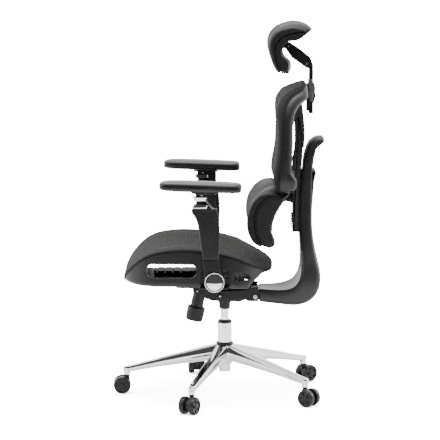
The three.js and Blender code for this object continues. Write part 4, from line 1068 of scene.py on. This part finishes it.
# ---------------------------------------------------------------- backrest
back_seam = reading(smooth_line([
    (731, 187), (775, 184), (816, 190), (868, 197), (950, 199), (1005, 202), (1035, 210), (1058, 226),
    (1076, 248), (1087, 266), (1097, 276)], 60))
back_width = smooth_line([
    (731, 176), (740, 196), (765, 209), (830, 214), (900, 212), (960, 207), (1008, 197), (1046, 178),
    (1074, 150), (1089, 118), (1097, 78)], 90)
back_rear = reading(smooth_line([
    (731, 236), (742, 243), (764, 245), (780, 243), (792, 236), (804, 229), (822, 228), (855, 229),
    (900, 230.5), (960, 231), (995, 234),
    (1022, 242), (1046, 256), (1062, 273), (1076, 284), (1097, 284)], 70))
back_bulge = reading([(742, 7), (780, 15), (816, 18), (868, 15), (950, 13), (1030, 24), (1066, 30),
                      (1084, 26), (1097, 10)])
back_plan = evenly(eased(np.vstack([back_width[:, ::-1], (back_width * (1, -1))[::-1][:, ::-1]]), 6, 3),
                   420)


def backrest_rim():
    normal = inward(back_plan)
    rings = []
    for (x, z), (nx, nz) in zip(back_plan, normal):
        front, rear = float(back_seam(z)), float(back_rear(z))
        r = min(8.0, (rear - front) / 2.6)
        section = [(2, front + 0.3), (0, front + 3), (0.0, 0.55 * front + 0.45 * rear),
                   (0.4 * r, rear - 1.2 * r), (1.2 * r, rear - 0.25 * r), (2.4 * r, rear),
                   (24, rear), (30, rear - r), (30, front + r), (26, front), (10, front)]
        rings.append([(x + nx * inset, y, z + nz * inset) for inset, y in section])
    piece = make("backrest_rim_shell", *loft(rings, along=True), "frame")
    bar = pushed("cutter", eased([(206, 779), (236, 779), (236, 809), (219, 815), (206, 805)], 5), -190,
                 190, "frame", rim=3)
    change(piece, "BOOLEAN", object=bar, operation="UNION", solver="EXACT")
    bpy.data.objects.remove(bar)
    spine_gap = pushed("cutter", [(235.5, 700), (330, 700), (330, 985), (235.5, 985)], -38.4, 38.4, "frame",
                       rim=0.5)
    clamp_gap = pushed("cutter", [(282.4, 1010), (330, 1010), (330, 1120), (282.4, 1120)], -31, 31, "frame",
                       rim=0.5)
    cut_from(piece, spine_gap, clamp_gap)
    moulded(piece, 1.8, 4, "frame")
    return settle(piece, "backrest", "frame", "backrest_frame")


def backrest_cloth():
    heights = np.linspace(742, 1096.6, 660)
    half_at = reading(back_width)
    across = 64
    u = np.sin(np.linspace(-0.5, 0.5, across + 1) * math.pi)
    rows, marks, run, before = [], [], 0.0, None
    for z in heights:
        half = float(half_at(z)) - 1
        edge = np.minimum((1 - np.abs(u)) * half, min((z - 742) * 0.8, (1097 - z) * 1.6))
        near = np.clip(np.maximum(edge, 0) / 26, 0, 1)
        bulge = float(back_bulge(z))
        round_in = np.sqrt(1 - (1 - near) ** 2)
        y = back_seam(z) - 5.2 - bulge * round_in + 14 * (1 - u * u) * near
        spot = np.array([y[across // 2], z])
        run += 0 if before is None else float(np.linalg.norm(spot - before))
        before = spot
        rib = 0.3 * math.sin(2 * math.pi * run / 3.4) * np.clip(edge / 8, 0, 1)
        rows.append(np.stack([u * half, y - rib, np.full(across + 1, z)], axis=1))
        marks.append(np.full(across + 1, run * MM))
    return sheet_piece("backrest_mesh_cloth", rows, marks, "back_mesh", 1.6)


def build_backrest():
    backrest_rim()
    cloth = backrest_cloth()
    settle(cloth, "backrest", "mesh", "backrest_mesh")
    fronts = [float(back_seam(z)) for z in back_plan[:, 1]]
    welt = band_around("backrest_seam_welt", back_plan, lambda i: fronts[i], [
        (3, -5.6), (0, -5.2), (-1.2, -3.6), (-1.1, -1.8), (-0.2, -1.0), (-1.2, 0), (-1.3, 1.8), (-0.2, 3.4),
        (2, 3.6), (7, 0), (8, -3)], "seam", axis=1)
    settle(welt, "backrest", "mesh")
    settle(stitches("backrest_seam_stitches", back_plan, lambda i: fronts[i], -0.9, -1.0, 6.0, "thread",
                    axis=1), "backrest", "mesh")
    outline = np.vstack([
        smooth_line([(262, 579), (262, 700), (264, 780), (269.5, 850), (270, 900), (273.5, 940), (272, 985),
                     (268, 1020), (262, 1046)], 60),
        smooth_line([(255, 1047), (246, 1030), (241, 1004), (243, 965), (243, 870), (239.5, 850),
                     (236, 832)], 30),
        [(236, 640), (233, 636), (233, 609), (236, 605), (236, 579)]])
    # The spine takes the lightened dark_frame nylon: painted light against the shade between the rim and the back
    # frame.
    spine = pushed("backrest_spine_shell", eased(outline, 1.5, 3), -38, 38, "dark_frame", rim=3.5, steps=5)
    settle(spine, "backrest", "dark_frame", "backrest_spine")
    hood = np.vstack([smooth_line([(231, 1030), (247, 1046), (260, 1033), (267.8, 1009), (272.5, 982),
                                   (276, 944), (276.5, 913), (274, 872)], 40),
                      smooth_line([(267, 878), (266, 925), (262, 951), (258, 972), (250, 983), (242, 974),
                                   (238, 955), (232.5, 952)], 30)])
    arch = moulded(pushed("backrest_spine_arch", evenly(hood, 120), -46, 46, "arch", rim=0.4), 1.3, 5,
                   "arch")
    settle(arch, "backrest", "frame")
    for k in range(6):
        low = 592 + 9 * k
        tooth = pushed(f"backrest_spine_tooth_{k + 1}", eased([(229.6, low + 1), (234, low), (234, low + 5),
                (229.6, low + 4)], 0.8), -13, 13, "mechanism", rim=0.8)
        settle(tooth, "backrest", "mechanism")
    refine("headrest_clamp", 1.0, 4)
    hump = smooth_line([(289, 1108), (297, 1111), (305, 1104), (312, 1086), (312.5, 1070), (306, 1048),
                        (304, 1034), (296, 1034), (291, 1046)], 40)
    cover = pushed("headrest_clamp_cover", evenly(hump, 60), -32, 32, "cover", rim=3, steps=5)
    settle(cover, "backrest", "frame")
    refine("lumbar_bracket", 1.0, 3)


build_backrest()


# ---------------------------------------------------------------- headrest and lumbar support
HEAD_OUTER = [(287, 1289), (264, 1300), (228, 1304), (185, 1292), (157, 1271), (146, 1245), (146, 1218),
              (154, 1186), (169, 1152), (181, 1137)]
HEAD_SEAM = [(286, 1285), (254, 1283), (218, 1275), (185, 1257), (171, 1238), (166, 1211), (171, 1178),
             (180, 1152), (190, 1137)]
HEAD_INNER = [(285, 1280), (254, 1259), (228, 1256), (207, 1248), (193, 1230), (188, 1211), (195, 1190),
              (214, 1172), (217, 1152), (211, 1135)]
LUMBAR_FRONT = [(204, 727), (180, 738), (148, 745), (112, 730), (86, 696), (73, 648), (77, 595), (98, 556),
                (118, 544)]
LUMBAR_SEAM = [(206, 724), (178, 731), (148, 727), (124, 706), (108, 682), (101, 650), (104, 600),
               (113, 568), (126, 547)]
LUMBAR_REAR = [(208, 720), (198, 705), (187, 688), (172, 660), (161, 626), (158, 598), (167, 574),
               (168, 549), (148, 540)]


def head_place(u, line):
    """A side-view line of the headrest at a share u of its half width."""
    shrink = 1 - 0.16 * max(0.0, (abs(u) - 0.7) / 0.3) ** 2
    y = 215 + (line[:, 0] - 215) * shrink + 12 * (1 - u * u)
    return np.stack([np.full(len(line), u * 140), y, 1215 + (line[:, 1] - 1215) * shrink], axis=1)


def lumbar_place(u, line, front=None, deep=False):
    across = abs(u)
    shrink = 1 - 0.14 * max(0.0, (across - 0.75) / 0.25) ** 2
    waist = 1 - 0.14 * max(0.0, 1 - across / 0.45) ** 2
    y = line[:, 0]
    if deep:
        y = front + (y - front) * (0.3 + 0.7 * min(1.0, across / 0.9) ** 2)
    y = 125 + (y - 125) * shrink + 24 * (1 - across**1.8)
    return np.stack([np.full(len(line), u * 200), y, 650 + (line[:, 1] - 650) * shrink * waist], axis=1)


def pad_body(name, place, front, rear, look, clearance, columns):
    rings = []
    for u in columns:
        ring = np.vstack([place(u, front), place(u, rear)[::-1]])
        ring[:, 1] += clearance
        rings.append(ring)
    return make(name, *loft(rings), look)


def seam_loop(place, line, columns):
    """The closed line around a seam surface: along its top, down one end, back along the foot and up."""
    top = [place(u, line)[0] for u in columns]
    foot = [place(u, line)[-1] for u in columns[::-1]]
    return np.vstack([top, place(1.0, line)[1:-1], foot, place(-1.0, line)[::-1][1:-1]])


def build_headrest():
    columns = np.sin(np.linspace(-0.5, 0.5, 31) * math.pi)
    outer, seam, inner = (smooth_line(line, 26) for line in (HEAD_OUTER, HEAD_SEAM, HEAD_INNER))
    pad = pad_body("headrest_cushion", head_place, outer, seam, "cushion", -0.5, columns)
    swell(pad, cap=3.0, voxel=4.0)
    covered(pad, "cushion")
    settle(pad, "headrest", "cushion", "headrest_pad")
    shell = pad_body("headrest_rear_shell", head_place, seam, inner, "frame", 0.5, columns)
    moulded(shell, 1.8, 6, "frame")
    settle(shell, "headrest", "frame", "headrest_shell")
    cord = tube("headrest_seam_welt", evenly(seam_loop(head_place, seam, columns), 220), 1.7, "seam")
    settle(cord, "headrest", "cushion")
    lug = pushed("headrest_lug", eased([(196, 1216), (228, 1216), (228, 1232), (196, 1232)], 6, 6), -10, 10,
                 "frame", rim=2)
    settle(lug, "headrest", "frame")
    cross = turned("headrest_lug_pin", [(0, -21.5), (3, -21.5), (3, 21.5), (0, 21.5)], "steel",
                   (0, 220, 1224), (1, 0, 0), 32, 0.5)
    settle(cross, "headrest", "steel")
    refine("headrest_arm", 1.0, 4)
    refine("headrest_post", 1.0, 4)
    for out in (1, -1):
        side = "left" if out > 0 else "right"
        head = turned(f"headrest_pin_head_{side}", [(0, 0), (5.4, 0), (5.5, 0.7), (4.6, 1.3), (2, 1.4),
                                                    (1.8, 0.7), (0, 0.7)], "steel",
                      (out * 22.4, 284, 1164), (out, 0, 0), 32, 0.3)
        settle(head, "headrest_post", "steel")


def build_lumbar():
    columns = np.sin(np.linspace(-0.5, 0.5, 37) * math.pi)
    front, seam, rear = (smooth_line(line, 26) for line in (LUMBAR_FRONT, LUMBAR_SEAM, LUMBAR_REAR))
    pad = pad_body("lumbar_cushion", lumbar_place, front, seam, "cushion", -1.0, columns)
    swell(pad, cap=3.5, voxel=4.5)
    covered(pad, "cushion")
    settle(pad, "lumbar", "cushion", "lumbar_pad")
    shell = pad_body("lumbar_rear_shell", lambda u, line: lumbar_place(u, line, seam[:, 0], line is rear),
                     seam, rear, "cushion", 1.0, columns)
    moulded(shell, 2.0, 7, "cushion")
    settle(shell, "lumbar", "frame", "lumbar_shell")
    cord = tube("lumbar_seam_welt", evenly(seam_loop(lumbar_place, seam, columns), 260), 1.7, "seam")
    settle(cord, "lumbar", "cushion")
    y, z = 223.5, 697
    for way in (1, -1):
        side = "left" if way > 0 else "right"
        arm = pushed(f"lumbar_link_{side}", eased([(152, 712), (148, 690), (180, 686), (214, z - 8),
                                                   (y, z - 7.4), (y + 7, z - 4), (y + 7, z + 4),
                                                   (y, z + 7.4),
                                                   (206, z + 13), (178, 716)], 4),
                                                   *sorted((way * 44, way * 60)), "frame", rim=2)
        settle(arm, "lumbar", "frame")


build_headrest()
build_lumbar()


# ---------------------------------------------------------------- remaining CAD nodes
for name, node in nodes.items():
    if not node.hide_render:
        node.data.materials.clear()
        node.data.materials.append(looks["mechanism" if name.endswith("_pin") else slot_of_node[name]])
        creased(node, 30)
